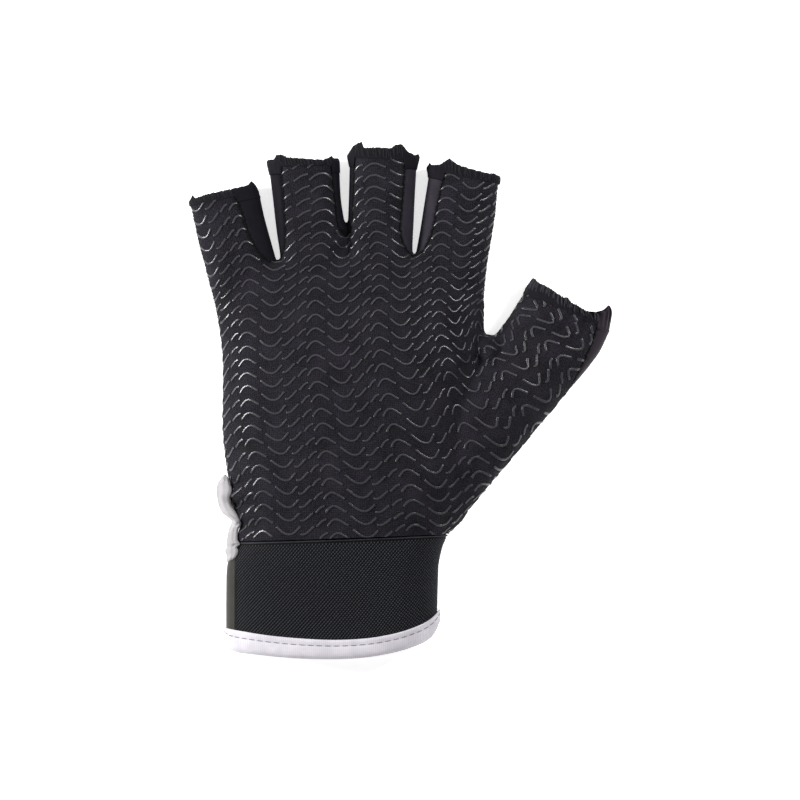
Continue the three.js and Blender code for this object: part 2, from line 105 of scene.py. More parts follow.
# Each finger: rows from inside the hand to its opening, the line of its hem's rim, and the rim itself
# seen from above, with the ears where the seams end
DIGITS = {
    "little": Digit(
        rows=[
            Row(-66.6, 34.0, -41.6, 36.0, 15.5),
            Row(-70.3, 48.1, -44.7, 50.5, 15.2),
            Row(-72.5, 56.0, -46.9, 58.5, 14.8),
            Row(-74.2, 64.2, -49.3, 67.5, 14.4),
            Row(-75.0, 67.9, -50.5, 73.3, 14.0),
        ],
        hem=Row(-76.0, 72.4, -52.3, 77.6, 13.6),
        rim=[
            (-76.7, 71.3), (-75.4, 72.3), (-74.7, 74.0), (-74.0, 72.5), (-69.7, 74.0), (-61.4, 75.8),
            (-54.9, 77.3), (-53.6, 78.8), (-51.9, 77.6),
        ],
    ),
    "ring": Digit(
        rows=[
            Row(-42.3, 37.0, -17.1, 39.4, 16.4),
            Row(-43.2, 52.0, -18.7, 53.8, 15.8),
            Row(-44.4, 60.0, -19.5, 60.8, 15.4),
            Row(-45.8, 72.0, -21.3, 72.6, 15.0),
            Row(-47.0, 81.5, -21.8, 82.3, 14.6),
        ],
        hem=Row(-48.0, 86.4, -22.2, 86.6, 14.2),
        rim=[
            (-47.8, 86.5), (-45.5, 86.6), (-44.6, 88.2), (-42.4, 88.3), (-40.8, 87.3), (-33.4, 86.8),
            (-27.4, 86.4), (-24.5, 87.9), (-23.9, 87.0), (-22.3, 87.1),
        ],
    ),
    "middle": Digit(
        rows=[
            Row(-18.9, 39.4, 5.2, 39.4, 16.6),
            Row(-19.2, 53.8, 4.5, 54.2, 16.0),
            Row(-18.9, 61.4, 4.9, 62.8, 15.6),
            Row(-18.5, 72.0, 5.4, 74.0, 15.2),
            Row(-18.2, 84.4, 5.9, 83.3, 14.8),
        ],
        hem=Row(-18.9, 89.9, 7.0, 88.6, 14.4),
        rim=[
            (-18.9, 88.6), (-17.0, 91.4), (-16.2, 91.9), (-13.7, 93.0), (-13.1, 90.7), (-8.2, 90.9),
            (-2.8, 90.6), (-1.7, 91.9), (1.0, 91.9), (2.7, 89.5), (5.6, 88.0), (6.5, 88.7), (7.4, 87.9),
        ],
    ),
    "index": Digit(
        rows=[
            Row(3.9, 36.5, 30.1, 35.8, 16.0),
            Row(5.7, 52.4, 31.7, 50.9, 15.6),
            Row(7.3, 61.6, 33.2, 59.5, 15.2),
            Row(8.8, 71.1, 34.5, 68.0, 14.8),
            Row(10.3, 80.5, 35.1, 75.4, 14.4),
        ],
        hem=Row(9.9, 84.9, 35.9, 80.0, 14.0),
        rim=[
            (10.0, 84.4), (10.6, 85.5), (11.4, 84.6), (14.3, 84.7), (17.7, 86.9), (20.7, 84.7),
            (24.8, 83.3), (31.2, 81.6), (33.7, 81.5), (36.1, 80.4),
        ],
    ),
    "thumb": Digit(
        rows=[
            Row(-2.0, -18.5, 18.9, -47.3, 19.5),
            Row(11.0, -4.5, 27.5, -36.2, 21.5),
            Row(20.4, 7.7, 39.6, -21.9, 22.0),
            Row(28.0, 16.4, 51.6, -7.6, 21.0),
            Row(34.6, 23.8, 60.6, 3.2, 19.2),
            Row(39.6, 30.4, 68.6, 12.6, 17.8),
            Row(41.9, 34.1, 72.0, 17.3, 16.9),
            Row(44.3, 37.9, 75.3, 24.2, 16.2),
        ],
        hem=Row(47.6, 43.2, 76.3, 32.0, 15.4),
        rim=[
            (46.8, 42.4), (48.1, 44.1), (49.4, 42.5), (54.7, 39.6), (58.6, 36.8), (60.4, 36.6),
            (61.6, 34.8), (64.3, 33.2), (66.7, 31.6), (70.2, 31.2), (73.4, 32.1), (75.0, 33.9),
            (76.7, 31.6),
        ],
    ),
}

HEM_TALL = 5.2  # the hem's strip is twice this wide before it is folded

# Seams between the palm and the strips along the fingers, from one opening round the crotch to the next
FOURCHETTES = {
    "fourchette_little_ring": [
        (-61.5, 79.5), (-60.3, 74.7), (-57.8, 69.7), (-54.2, 58.9), (-50.2, 52.4), (-48.8, 51.2),
        (-46.1, 49.9), (-43.6, 50.6), (-42.4, 53.0), (-41.5, 58.9), (-41.9, 68.6), (-43.4, 88.0),
    ],
    "fourchette_ring_middle": [
        (-25.2, 89.0), (-23.9, 76.9), (-22.9, 68.0), (-22.5, 64.0), (-21.3, 61.0), (-19.4, 59.2),
        (-18.1, 60.6), (-17.6, 64.0), (-17.2, 73.0), (-16.2, 93.0),
    ],
    "fourchette_middle_index": [
        (2.0, 93.0), (1.3, 76.1), (0.5, 67.1), (0.2, 61.0), (1.9, 55.2), (4.9, 52.0), (7.8, 53.4),
        (9.9, 56.8), (13.5, 70.7), (15.3, 78.7), (17.8, 90.0),
    ],
}

# The seam on the palm side of the strip along the thumb's outer edge, and the far side of its cut
THUMB_SEAM = [
    (73.4, 38.0), (71.8, 29.3), (69.7, 21.8), (66.1, 13.5), (61.0, 3.8), (55.9, -3.2), (51.0, -9.5),
]
THUMB_STRIP_OUTSIDE = [(62.0, -18.0), (95.0, 10.0), (95.0, 38.0)]

# Soft folds of the palm: the ends of each crest or crease, its width, and its rise or fall
FOLDS = [
    Fold(-20.8, 61.8, -27.0, 64.0, 1.5, 0.6),
    Fold(-20.0, 59.4, -26.5, 59.0, 1.1, -0.9),
    Fold(-20.4, 57.6, -26.0, 56.2, 1.4, 0.8),
    Fold(-20.0, 55.6, -24.5, 50.5, 1.4, -0.6),
    Fold(-19.0, 57.0, -20.5, 49.0, 1.4, 0.7),
    Fold(-18.2, 56.5, -13.5, 49.5, 1.4, -0.6),
    Fold(-17.6, 59.4, -12.5, 58.0, 1.2, -0.6),
    Fold(4.4, 50.5, 2.0, 41.0, 1.6, -0.5),
    Fold(-45.8, 46.5, -42.0, 38.0, 1.6, -0.5),
    Fold(30.5, 20.5, 14.0, 10.0, 2.2, 0.8),
    Fold(31.5, 19.0, 17.0, 2.0, 2.0, -0.8),
    Fold(33.0, 18.5, 22.0, -6.0, 2.4, 0.7),
    Fold(35.5, 19.5, 34.0, 2.0, 2.0, -0.6),
    Fold(37.5, 22.0, 44.5, 8.0, 2.2, 0.6),
    Fold(-61.0, -31.0, -51.0, -28.5, 1.8, -1.4),
    Fold(-60.0, -34.5, -50.0, -33.5, 1.6, 0.9),
    Fold(-59.5, -38.0, -48.0, -38.5, 1.7, -1.2),
    Fold(-58.5, -41.5, -49.0, -43.0, 1.6, 0.9),
    Fold(-57.0, -45.5, -47.0, -48.5, 1.6, -0.8),
    Fold(-3.0, -44.0, 12.0, -27.0, 4.0, 0.7),
    Fold(5.0, -47.0, 19.0, -33.0, 3.2, -0.7),
    Fold(-24.0, -50.0, -14.0, -36.0, 4.5, 0.5),
    Fold(22.0, -30.0, 36.0, -12.0, 3.5, -0.6),
    Fold(28.0, -33.0, 42.0, -15.0, 3.0, 0.6),
]

# The print on the palm: a wave of short raised lines. Each is a path to the right and down from a crest.
GRIP_WIDTH = 0.74
GRIP_HEIGHT = 0.3
GRIP_ROUND = 0.2
GRIP_BAR = 5.0
GRIP_STEPS = 10
GRIP_PERIOD = 25.0
GRIP_ROW = 4.95
GRIP_PATHS = {
    "crest": [(-3.4, 2.7), (-2.5, 1.4), (-1.5, 0.4), (-0.4, 0.0), (0.7, 0.2), (2.1, 1.2), (3.4, 2.0)],
    "trough": [(4.7, 3.2), (6.0, 4.5), (7.6, 5.6), (9.1, 5.9), (10.4, 5.4), (11.5, 4.2), (12.7, 2.9)],
    "hook": [(12.7, 5.6), (13.3, 5.9), (14.2, 5.5), (15.5, 4.4), (17.2, 2.7)],
    "rise": [(18.2, 2.8), (19.2, 1.6), (20.2, 0.6), (21.5, 0.1)],
}
# Where the wave's crests lie on the worn palm, seen from above: one line for each row of the print that
# bends, from the little finger's side to the thumb's. The wave turns with the cloth into the thumb.
CRESTS = {
    -16: [
        (-85.2, 92.5), (-63.3, 92.5), (-29.4, 90.3), (-9.1, 89.3), (19.1, 89.6), (42.9, 88.9),
        (64.3, 88.9), (85.7, 88.9),
    ],
    -11: [
        (-79.6, 66.8), (-59.0, 71.1), (-26.6, 68.6), (-9.1, 68.6), (16.6, 68.6), (37.6, 68.6),
        (57.2, 68.6), (78.6, 71.1),
    ],
    -8: [
        (-74.7, 52.6), (-55.4, 57.2), (-28.0, 56.5), (-8.0, 56.8), (15.1, 56.1), (34.7, 56.1),
        (53.6, 58.6), (71.5, 62.2),
    ],
    -4: [
        (-73.6, 34.4), (-54.0, 39.0), (-30.1, 40.5), (-6.9, 41.2), (14.4, 40.1), (31.5, 40.1),
        (42.9, 46.2), (57.2, 51.5),
    ],
    -1: [
        (-74.7, 22.4), (-54.7, 24.4), (-30.1, 25.8), (-7.7, 27.6), (14.4, 27.6), (28.0, 28.3),
        (38.7, 35.1), (57.2, 40.8),
    ],
    0: [
        (-74.7, 17.5), (-54.7, 19.4), (-30.1, 21.2), (-7.3, 22.6), (14.8, 23.3), (28.7, 23.3),
        (42.9, 30.5), (61.5, 36.5),
    ],
    1: [
        (-74.7, 12.5), (-54.7, 14.8), (-30.1, 16.2), (-6.9, 18.0), (15.9, 19.4), (31.2, 19.4),
        (47.9, 26.4), (66.5, 32.3),
    ],
    2: [
        (-74.7, 7.5), (-54.7, 9.8), (-29.8, 11.6), (-6.2, 13.0), (17.3, 15.1), (34.4, 15.1), (52.9, 21.4),
        (71.5, 27.6),
    ],
    3: [
        (-74.7, 2.8), (-54.4, 5.2), (-29.4, 6.6), (-5.2, 7.7), (17.6, 10.2), (37.6, 10.5), (57.6, 16.0),
        (76.1, 22.3),
    ],
    4: [
        (-74.4, -2.1), (-54.0, 0.2), (-28.7, 2.0), (-4.1, 2.3), (19.1, 4.8), (41.9, 4.1), (61.1, 11.2),
        (80.0, 17.6),
    ],
    5: [
        (-74.4, -6.8), (-53.6, -4.5), (-28.0, -3.0), (-3.4, -3.0), (20.5, -1.6), (45.1, -1.8),
        (64.7, 5.9), (83.6, 12.3),
    ],
    7: [
        (-73.3, -16.0), (-52.6, -13.7), (-26.9, -13.4), (-0.5, -14.1), (25.8, -14.4), (50.4, -13.4),
        (71.5, -5.5), (91.1, 1.6),
    ],
    9: [
        (-71.5, -25.7), (-50.4, -23.3), (-25.5, -23.0), (3.0, -24.8), (28.7, -25.5), (52.9, -24.4),
        (75.7, -16.9), (96.4, -9.1),
    ],
    11: [
        (-70.5, -34.9), (-49.0, -32.6), (-24.1, -33.0), (4.8, -35.8), (29.4, -33.3), (53.6, -32.3),
        (76.8, -25.1), (97.1, -18.0),
    ],
    14: [
        (-70.5, -49.2), (-49.0, -46.9), (-21.9, -47.6), (5.9, -49.0), (28.0, -44.7), (51.9, -44.7),
        (75.0, -37.6), (95.7, -30.5),
    ],
    17: [
        (-70.5, -63.5), (-49.0, -61.2), (-19.7, -62.2), (7.0, -62.2), (26.6, -56.1), (50.2, -57.1),
        (73.2, -50.1), (94.3, -43.0),
    ],
}
FIRST_COLUMN = -1

# The side vent: how far in and along it is open, and its height
Slit = namedtuple("Slit", "to_x from_y to_y low_z high_z")
VENT_SLIT = Slit(-52.0, -52.0, -31.0, 6.6, 9.4)

# The cuff: left and right edges, with the share of the way from its top to its lower edge
CuffRow = namedtuple("CuffRow", "down lx rx")
CUFF = [
    CuffRow(0, -58.7, 17.1),
    CuffRow(0.12, -59.8, 15.5),
    CuffRow(0.2, -61.5, 14.8),
    CuffRow(0.27, -61.9, 14.3),
    CuffRow(0.36, -62.1, 13.8),
    CuffRow(0.65, -62.2, 13.5),
    CuffRow(1, -62.2, 13.3),
]
CUFF_TOP_Y = -51.2
CUFF_CROWN = 23.0
CUFF_LIFT = 1.5
CUFF_MIDDLE = (-24.0, 0.0, 12.0)
ELASTIC = 1.6  # its thickness
STRAP_EDGE_X = -59.2  # where the strap's edge shows on the palm's side
STRAP_END_X = 8.0  # where it ends on the back
STRAP_PROUD = 0.45
BINDING = 1.0  # thickness of the white tape
BINDING_GRIP = 3.2  # how far the tape reaches over the cuff's cloths
TAPE_WIDTH = 15.2
TAPE_SHOWS = 6.6  # how much of its width shows on one side
VENT_TAPE_WIDTH = 11.0
# The part of the elastic and the strap that is sewn in under the hand's wrist edge: share, two insets
TUCKED = [(-0.1, 1.4, 2.4), (-0.02, 0.9, 2.2)]
Rim = namedtuple("Rim", "x start end")
RIM = [
    Rim(-63.4, -82.0, -87.0),
    Rim(-62.0, -82.3, -89.3),
    Rim(-59.5, -82.7, -90.6),
    Rim(-55.5, -83.3, -91.2),
    Rim(-50.2, -84.1, -91.7),
    Rim(-35.8, -85.5, -92.8),
    Rim(-21.4, -86.0, -93.0),
    Rim(-7.0, -84.8, -91.7),
    Rim(4.0, -82.1, -89.0),
    Rim(9.7, -79.6, -86.6),
    Rim(12.6, -77.4, -84.0),
    Rim(14.3, -75.4, -80.6),
]

# The taped edge of the side vent: its two edges seen from above, its height and half thickness
Tape = namedtuple("Tape", "y left right z thick")
VENT_TAPE = [
    Tape(-26.9, -63.4, -62.9, 9.0, 0.5),
    Tape(-28.1, -64.4, -61.9, 9.3, 1.1),
    Tape(-30.0, -65.8, -61.0, 9.7, 1.4),
    Tape(-32.8, -66.2, -60.6, 10.2, 1.5),
    Tape(-35.6, -65.9, -61.2, 10.2, 1.5),
    Tape(-38.3, -65.3, -60.3, 9.7, 1.6),
    Tape(-40.8, -64.0, -58.9, 9.2, 1.5),
    Tape(-42.2, -62.2, -58.0, 8.9, 1.4),
    Tape(-43.7, -60.7, -57.3, 8.9, 1.4),
    Tape(-45.0, -61.0, -57.2, 9.1, 1.5),
    Tape(-46.7, -61.8, -58.2, 9.4, 1.5),
    Tape(-50.2, -62.4, -58.5, 10.0, 1.5),
    Tape(-51.8, -62.5, -57.5, 10.2, 1.5),
    Tape(-53.1, -62.4, -58.7, 10.2, 1.2),
    Tape(-54.2, -63.1, -58.2, 10.2, 1.4),
    Tape(-56.0, -62.6, -58.7, 10.0, 1.4),
    Tape(-57.6, -62.6, -59.8, 9.8, 1.2),
    Tape(-58.7, -62.2, -60.8, 9.6, 0.8),
]


def linear(hex_colour):
    """An sRGB hex colour as linear RGBA."""
    channels = [int(hex_colour[i : i + 2], 16) / 255 for i in (1, 3, 5)]
    return tuple(c / 12.92 if c <= 0.04045 else ((c + 0.055) / 1.055) ** 2.4 for c in channels) + (1.0,)


def fill(tree, made, inputs):
    """Give a node's inputs their values or their links."""
    for key, value in inputs.items():
        if isinstance(value, bpy.types.NodeSocket):
            tree.links.new(value, made.inputs[key])
        else:
            made.inputs[key].default_value = value


def node(tree, kind, inputs, **settings):
    """Add a node, set its properties, and fill its inputs."""
    made = tree.nodes.new(kind)
    for key, value in settings.items():
        setattr(made, key, value)
    fill(tree, made, inputs)
    return made


def new_material(name):
    """A material with a bare shader: the tree and its shader node."""
    material = bpy.data.materials.new(name)
    material.use_nodes = True
    shader = material.node_tree.nodes["Principled BSDF"]
    return material, material.node_tree, shader


def times_plus(tree, value, factor, added):
    """A value times a factor, plus another."""
    inputs = {0: value, 1: factor, 2: added}
    return node(tree, "ShaderNodeMath", inputs, operation="MULTIPLY_ADD").outputs[0]


def ripple(tree, value, period):
    """A wave between 0 and 1 that repeats once a period, along a coordinate in metres."""
    turned = times_plus(tree, value, 2 * math.pi / (period * MM), 0.0)
    wave = node(tree, "ShaderNodeMath", {0: turned}, operation="SINE")
    return times_plus(tree, wave.outputs[0], 0.5, 0.5)


def object_place(tree):
    return node(tree, "ShaderNodeTexCoord", {}).outputs["Object"]


def flat_place(tree):
    """Where a point lies on the cloth's flat cut: the whole place, and its two coordinates."""
    flat = node(tree, "ShaderNodeAttribute", {}, attribute_name="flat").outputs["Vector"]
    split = node(tree, "ShaderNodeSeparateXYZ", {0: flat})
    return flat, split.outputs[0], split.outputs[1]


def noise(tree, where, size, detail, rough=0.5):
    """Clouds about a size across, in millimetres."""
    inputs = {"Vector": where, "Scale": 1 / (size * MM), "Detail": detail, "Roughness": rough}
    return node(tree, "ShaderNodeTexNoise", inputs).outputs["Fac"]


def spread(tree, value, **limits):
    """A value carried from one range to another."""
    inputs = {"Value": value, **{key.replace("_", " ").title(): limit for key, limit in limits.items()}}
    return node(tree, "ShaderNodeMapRange", inputs).outputs[0]


def between(tree, factor, dark, light):
    """A colour between two hex colours."""
    inputs = {"Factor": factor, 6: linear(dark), 7: linear(light)}
    return node(tree, "ShaderNodeMix", inputs, data_type="RGBA").outputs[2]


def relief(tree, height, distance, strength):
    """Bump of a height in millimetres."""
    inputs = {"Strength": strength, "Distance": distance * MM, "Height": height}
    return node(tree, "ShaderNodeBump", inputs).outputs[0]


def knit(name, dark, light, rough, lift):
    """Polyester and elastane weft knit, fine gauge: close ribs that run along the hand."""
    material, tree, shader = new_material(name)
    flat, across, along = flat_place(tree)
    rib = ripple(tree, across, WALE)
    # Each loop slants to the side of its rib, so the rows of loops run in shallow chevrons
    loops = ripple(tree, times_plus(tree, rib, 0.35 * COURSE * MM, along), COURSE)
    weave = times_plus(tree, rib, 0.7, loops)
    # Slow clouds are wear. Fine ones are the yarn's fuzz: a real bump, and in the colour painted glints
    # where the fuzz catches the light
    cloud = noise(tree, flat, 9, 3.0, 0.6)
    fuzz_and_glints = noise(tree, flat, 0.55, 2.0, 0.7)
    # The colour paints the ribs' crowns lighter and their grooves darker, as painted shade of the knit's
    # relief, with the fuzz's painted glints over it
    tone = times_plus(tree, weave, 0.16, times_plus(tree, fuzz_and_glints, 1.9, cloud))
    inputs = {
        "Base Color": between(tree, spread(tree, tone, from_min=1.2, from_max=2.05), dark, light),
        "Normal": relief(tree, times_plus(tree, fuzz_and_glints, 0.8, weave), lift, 1.0),
        "Roughness": rough,
        "Specular IOR Level": 0.12,
        "Sheen Weight": 0.02,
        "Sheen Roughness": 0.5,
        "Sheen Tint": linear("#b9b4cc"),
    }
    fill(tree, shader, inputs)
    return material


def smooth_cloth(name, dark, light, rough, gloss, sheen):
    """Coated stretch cloth, calendered: nearly no weave shows, only a soft sheen and a faint mottle."""
    material, tree, shader = new_material(name)
    where = object_place(tree)
    inputs = {
        "Base Color": between(tree, noise(tree, where, 5, 4.0), dark, light),
        "Normal": relief(tree, noise(tree, where, 0.4, 1.0), 0.05, 0.6),
        "Roughness": rough,
        "Specular IOR Level": gloss,
        "Sheen Weight": sheen,
        "Sheen Roughness": 0.4,
    }
    fill(tree, shader, inputs)
    return material


def thread(name, dark, light, rough):
    """Textured polyester thread, twisted: matt, with a faint change of shade from strand to strand."""
    material, tree, shader = new_material(name)
    strand = noise(tree, object_place(tree), 0.8, 3.0)
    inputs = {
        "Base Color": between(tree, strand, dark, light),
        "Normal": relief(tree, strand, 0.06, 0.8),
        "Roughness": rough,
        "Specular IOR Level": 0.12,
        "Sheen Weight": 0.02,
    }
    fill(tree, shader, inputs)
    return material


def grosgrain(name, low, high, rib_shade, depth):
    """Polyester grosgrain tape, woven with a thick weft: fine ribs run across the tape."""
    material, tree, shader = new_material(name)
    _, across, _ = flat_place(tree)
    rib = ripple(tree, across, TAPE_RIB)
    # The colour paints the ribs lighter and darker across the tape, as painted shade of their relief, over a
    # slow cloud of lighter and darker tone
    slow_tone = noise(tree, object_place(tree), 6, 4.0)
    tone = spread(tree, times_plus(tree, rib, rib_shade, slow_tone), from_min=0.3, from_max=0.9)
    inputs = {
        "Base Color": between(tree, tone, low, high),
        "Normal": relief(tree, rib, depth, 0.7),
        "Roughness": 0.75,
        "Specular IOR Level": 0.3,
        "Sheen Weight": 0.2,
    }
    fill(tree, shader, inputs)
    return material


def silicone():
    """Screen-printed silicone, cured: clear gloss over black, with a slightly uneven skin."""
    material, tree, shader = new_material("screen_printed_silicone")
    skin = noise(tree, object_place(tree), 0.8, 3.0)
    inputs = {
        # The black silicone's colour is lifted to a dark grey: painted sheen of its gloss, added to its real
        # reflections
        "Base Color": linear("#2a292e"),
        "Roughness": spread(tree, skin, to_min=0.18, to_max=0.38),
        "Normal": relief(tree, skin, 0.11, 0.7),
        "IOR": 1.47,
    }
    fill(tree, shader, inputs)
    return material


def floor_acrylic():
    """Opal acrylic sheet, matt, lit softly from below: white, with only light shadows."""
    material, tree, shader = new_material("lit_opal_acrylic")
    inputs = {
        "Base Color": linear("#f7f7f7"),
        "Roughness": 0.9,
        "Specular IOR Level": 0.0,
        "Emission Color": linear("#ffffff"),
        "Emission Strength": 0.62,
    }
    fill(tree, shader, inputs)
    return material


MATERIALS = {
    "palm_knit": knit("fine_rib_knit_palm", "#070609", "#28262d", 0.85, 0.12),
    "back_knit": knit("fine_rib_knit_back", "#0f0e11", "#222025", 0.85, 0.12),
    # One coated stretch cloth in three tones: the darkest is painted shade of the recessed strips between
    # the fingers, and the copies for the middle-index strip and the thumb strip are lighter, as painted
    # light
    "smooth_strip": smooth_cloth("coated_stretch_cloth", "#0e0d11", "#18161c", 0.7, 0.06, 0.0),
    "fourchette_middle_index": smooth_cloth(
        "stretch_cloth_index_lit_copy", "#1f1c23", "#2f2b33", 0.65, 0.08, 0.01
    ),
    "thumb_strip": smooth_cloth("stretch_cloth_thumb_lit_copy", "#231e24", "#2d272e", 0.6, 0.1, 0.02),
    "hem_thread": thread("folded_knit_hem", "#0c0b0e", "#19181d", 0.9),
    "overlock": thread("textured_overlock_thread", "#111014", "#252429", 0.8),
    "loose_overlock": thread("gathered_overlock_thread", "#18171b", "#39373e", 0.75),
    # The band under the floats is painted near black: painted shade in the gaps between the lighter yarn
    # floats
    "woven_elastic": thread("woven_elastic_shaded_base", "#040405", "#08080a", 0.8),
    "elastic_float": thread("woven_elastic_floats", "#202126", "#36383e", 0.6),
    "strap": smooth_cloth("coated_strap_cloth", "#201f1b", "#2d2b27", 0.5, 0.12, 0.02),
    "binding": grosgrain("white_grosgrain_tape", "#afabb2", "#c8c4cb", 0.25, 0.1),
    # The vent's tape is the binding's white tape in a darker copy, as painted shade
    "vent_tape": grosgrain("white_folded_tape_shaded", "#8c898b", "#a6a3a6", 0.06, 0.04),
    "binding_thread": thread("pale_lockstitch_thread", "#6d6a73", "#8b8890", 0.7),
    "seam_thread": thread("black_seam_thread", "#020203", "#060607", 0.8),
    "grip_silicone": silicone(),
}


def activate(obj):
    """Make one object the only one selected."""
    bpy.ops.object.select_all(action="DESELECT")
    obj.select_set(True)
    bpy.context.view_layer.objects.active = obj


def new_object(name, points, faces):
    """A mesh object from points in millimetres."""
    mesh = bpy.data.meshes.new(name)
    mesh.from_pydata((np.asarray(points) * MM).tolist(), [], [list(map(int, face)) for face in faces])
    mesh.update()
    obj = bpy.data.objects.new(name, mesh)
    bpy.context.scene.collection.objects.link(obj)
    return obj


def apply_modifier(obj, kind, **settings):
    """Add one modifier with its settings, and apply it."""
    activate(obj)
    modifier = obj.modifiers.new(kind.title(), kind)
    for key, value in settings.items():
        setattr(modifier, key, value)
    bpy.ops.object.modifier_apply(modifier=modifier.name)


def soften_edges(obj, width, angle):
    """Bevel the edges that turn by more than an angle."""
    limit = math.radians(angle)
    apply_modifier(obj, "BEVEL", width=width * MM, segments=2, limit_method="ANGLE", angle_limit=limit)


def finish_piece(obj, material, slot, *nodes):
    """Give a piece its material and its place in the frame."""
    obj.data.materials.clear()
    obj.data.materials.append(MATERIALS[material])
    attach(obj, "root")
    if nodes:
        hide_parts(*nodes)


def coordinates(mesh, what="vertices", key="co"):
    """A mesh's vertex places or normals as an array."""
    data = getattr(mesh, what)
    values = np.empty(len(data) * 3)
    data.foreach_get(key, values)
    return values.reshape(-1, 3)


def move_points(obj, places):
    """Put a mesh's vertices at new places, in metres."""
    obj.data.vertices.foreach_set("co", places.ravel())
    obj.data.update()


def joined(pieces):
    """Several objects as one, under the first one's name."""
    activate(pieces[0])
    for piece in pieces:
        piece.select_set(True)
    bpy.ops.object.join()
    return bpy.context.object


def taken(obj):
    """A scratch object's points in millimetres and its faces. The object goes."""
    points = coordinates(obj.data) / MM
    faces = [list(face.vertices) for face in obj.data.polygons]
    bpy.data.objects.remove(obj)
    return points, faces


def chord(points):
    """Distance along a row of points."""
    steps = np.linalg.norm(np.diff(points, axis=0), axis=1)
    return np.concatenate([[0.0], np.cumsum(steps)])


def sampled(points, along, at):
    """The places on a row of points at some distances along it."""
    return np.stack([np.interp(at, along, points[:, k]) for k in range(points.shape[1])], axis=-1)


def unit(vectors, least=0.0):
    """Vectors brought to length one. least keeps an empty one from a division by zero."""
    return vectors / (np.linalg.norm(vectors, axis=-1, keepdims=True) + least)


def smooth_curve(points, step, along=None):
    """Points about a step apart on a smooth curve through the given ones, with all their columns."""
    values = np.array(points, dtype=float)
    along = chord(values[:, :2]) if along is None else along
    slope = np.gradient(values, along, axis=0)
    places = np.linspace(0, along[-1], max(2, round(along[-1] / step) + 1))
    i = np.clip(np.searchsorted(along, places, side="right") - 1, 0, len(along) - 2)
    span = (along[i + 1] - along[i])[:, None]
    t = (places - along[i])[:, None] / span
    start = (1 + 2 * t) * (1 - t) ** 2 * values[i] + t * (1 - t) ** 2 * span * slope[i]
    end = t**2 * (3 - 2 * t) * values[i + 1] - t**2 * (1 - t) * span * slope[i + 1]
    return start + end


def smooth_rows(rows, step):
    """A table of rows as many more rows on a smooth form."""
    values = np.array(rows, dtype=float)
    middles = (values[:, 0:2] + values[:, 2:4]) / 2
    return [Row(*row) for row in smooth_curve(values, step, chord(middles))]


def carried_on(before, last, distance):
    """A row moved on past the end of a table."""
    step = np.array([last.lx + last.rx - before.lx - before.rx, last.ly + last.ry - before.ly - before.ry])
    x, y = step * (distance / np.linalg.norm(step))
    return last._replace(lx=last.lx + x, ly=last.ly + y, rx=last.rx + x, ry=last.ry + y)


def turns(count):
    """Evenly spaced turns round a section, with none at its side seams."""
    return (np.arange(count) + 0.5) * 2 * np.pi / count


def section(row, turn, inset=0.0):
    """Corners of a soft section between two edge points, from the right edge over the crown."""
    cos, sin = np.cos(turn), np.sin(turn)
    power = np.where(sin > 0, CROWN_POWER, BASE_POWER)
    out = np.sign(cos) * np.abs(cos) ** (2 / power)
    up = np.abs(sin) ** (2 / power)
    half = np.array([row.rx - row.lx, row.ry - row.ly]) / 2
    length = np.linalg.norm(half)
    share = out * (length - inset) / length
    base = row.base + inset
    crown = SEAM_Z + (row.top - inset - SEAM_Z) * up
    under = np.maximum(base, SEAM_Z - (SEAM_Z - base + BASE_PRESS) * up)
    x = (row.lx + row.rx) / 2 + half[0] * share
    y = (row.ly + row.ry) / 2 + half[1] * share
    return np.stack([x, y, np.where(sin > 0, crown, under)], axis=-1)


def grid_faces(rows, columns, ring, loop):
    """Quads of a grid of points, closed round its columns, and round its rows too for a loop."""
    index = np.arange(rows * columns).reshape(rows, columns)
    if loop:
        index = np.vstack([index, index[:1]])
    if ring:
        index = np.hstack([index, index[:, :1]])
    corners = [index[:-1, :-1], index[:-1, 1:], index[1:, 1:], index[1:, :-1]]
    return np.stack(corners, axis=-1).reshape(-1, 4)


def loft(name, rings, ring=True, loop=False, capped=False):
    """A surface through rings of points, with its faces turned outwards."""
    rows, columns = rings.shape[:2]
    faces = grid_faces(rows, columns, ring, loop).tolist()
    if capped:
        faces.append(list(range(columns))[::-1])
        faces.append(list(range((rows - 1) * columns, rows * columns)))
    obj = new_object(name, rings.reshape(-1, 3), faces)
    face_outwards(obj)
    return obj


def face_outwards(obj):
    """Turn all faces outwards."""
    shape = bmesh.new()
    shape.from_mesh(obj.data)
    bmesh.ops.recalc_face_normals(shape, faces=shape.faces)
    shape.to_mesh(obj.data)
    shape.free()


def shade(obj, angle=40):
    """Smooth shading, with edges sharper than the angle kept hard."""
    activate(obj)
    bpy.ops.object.shade_smooth_by_angle(angle=math.radians(angle))


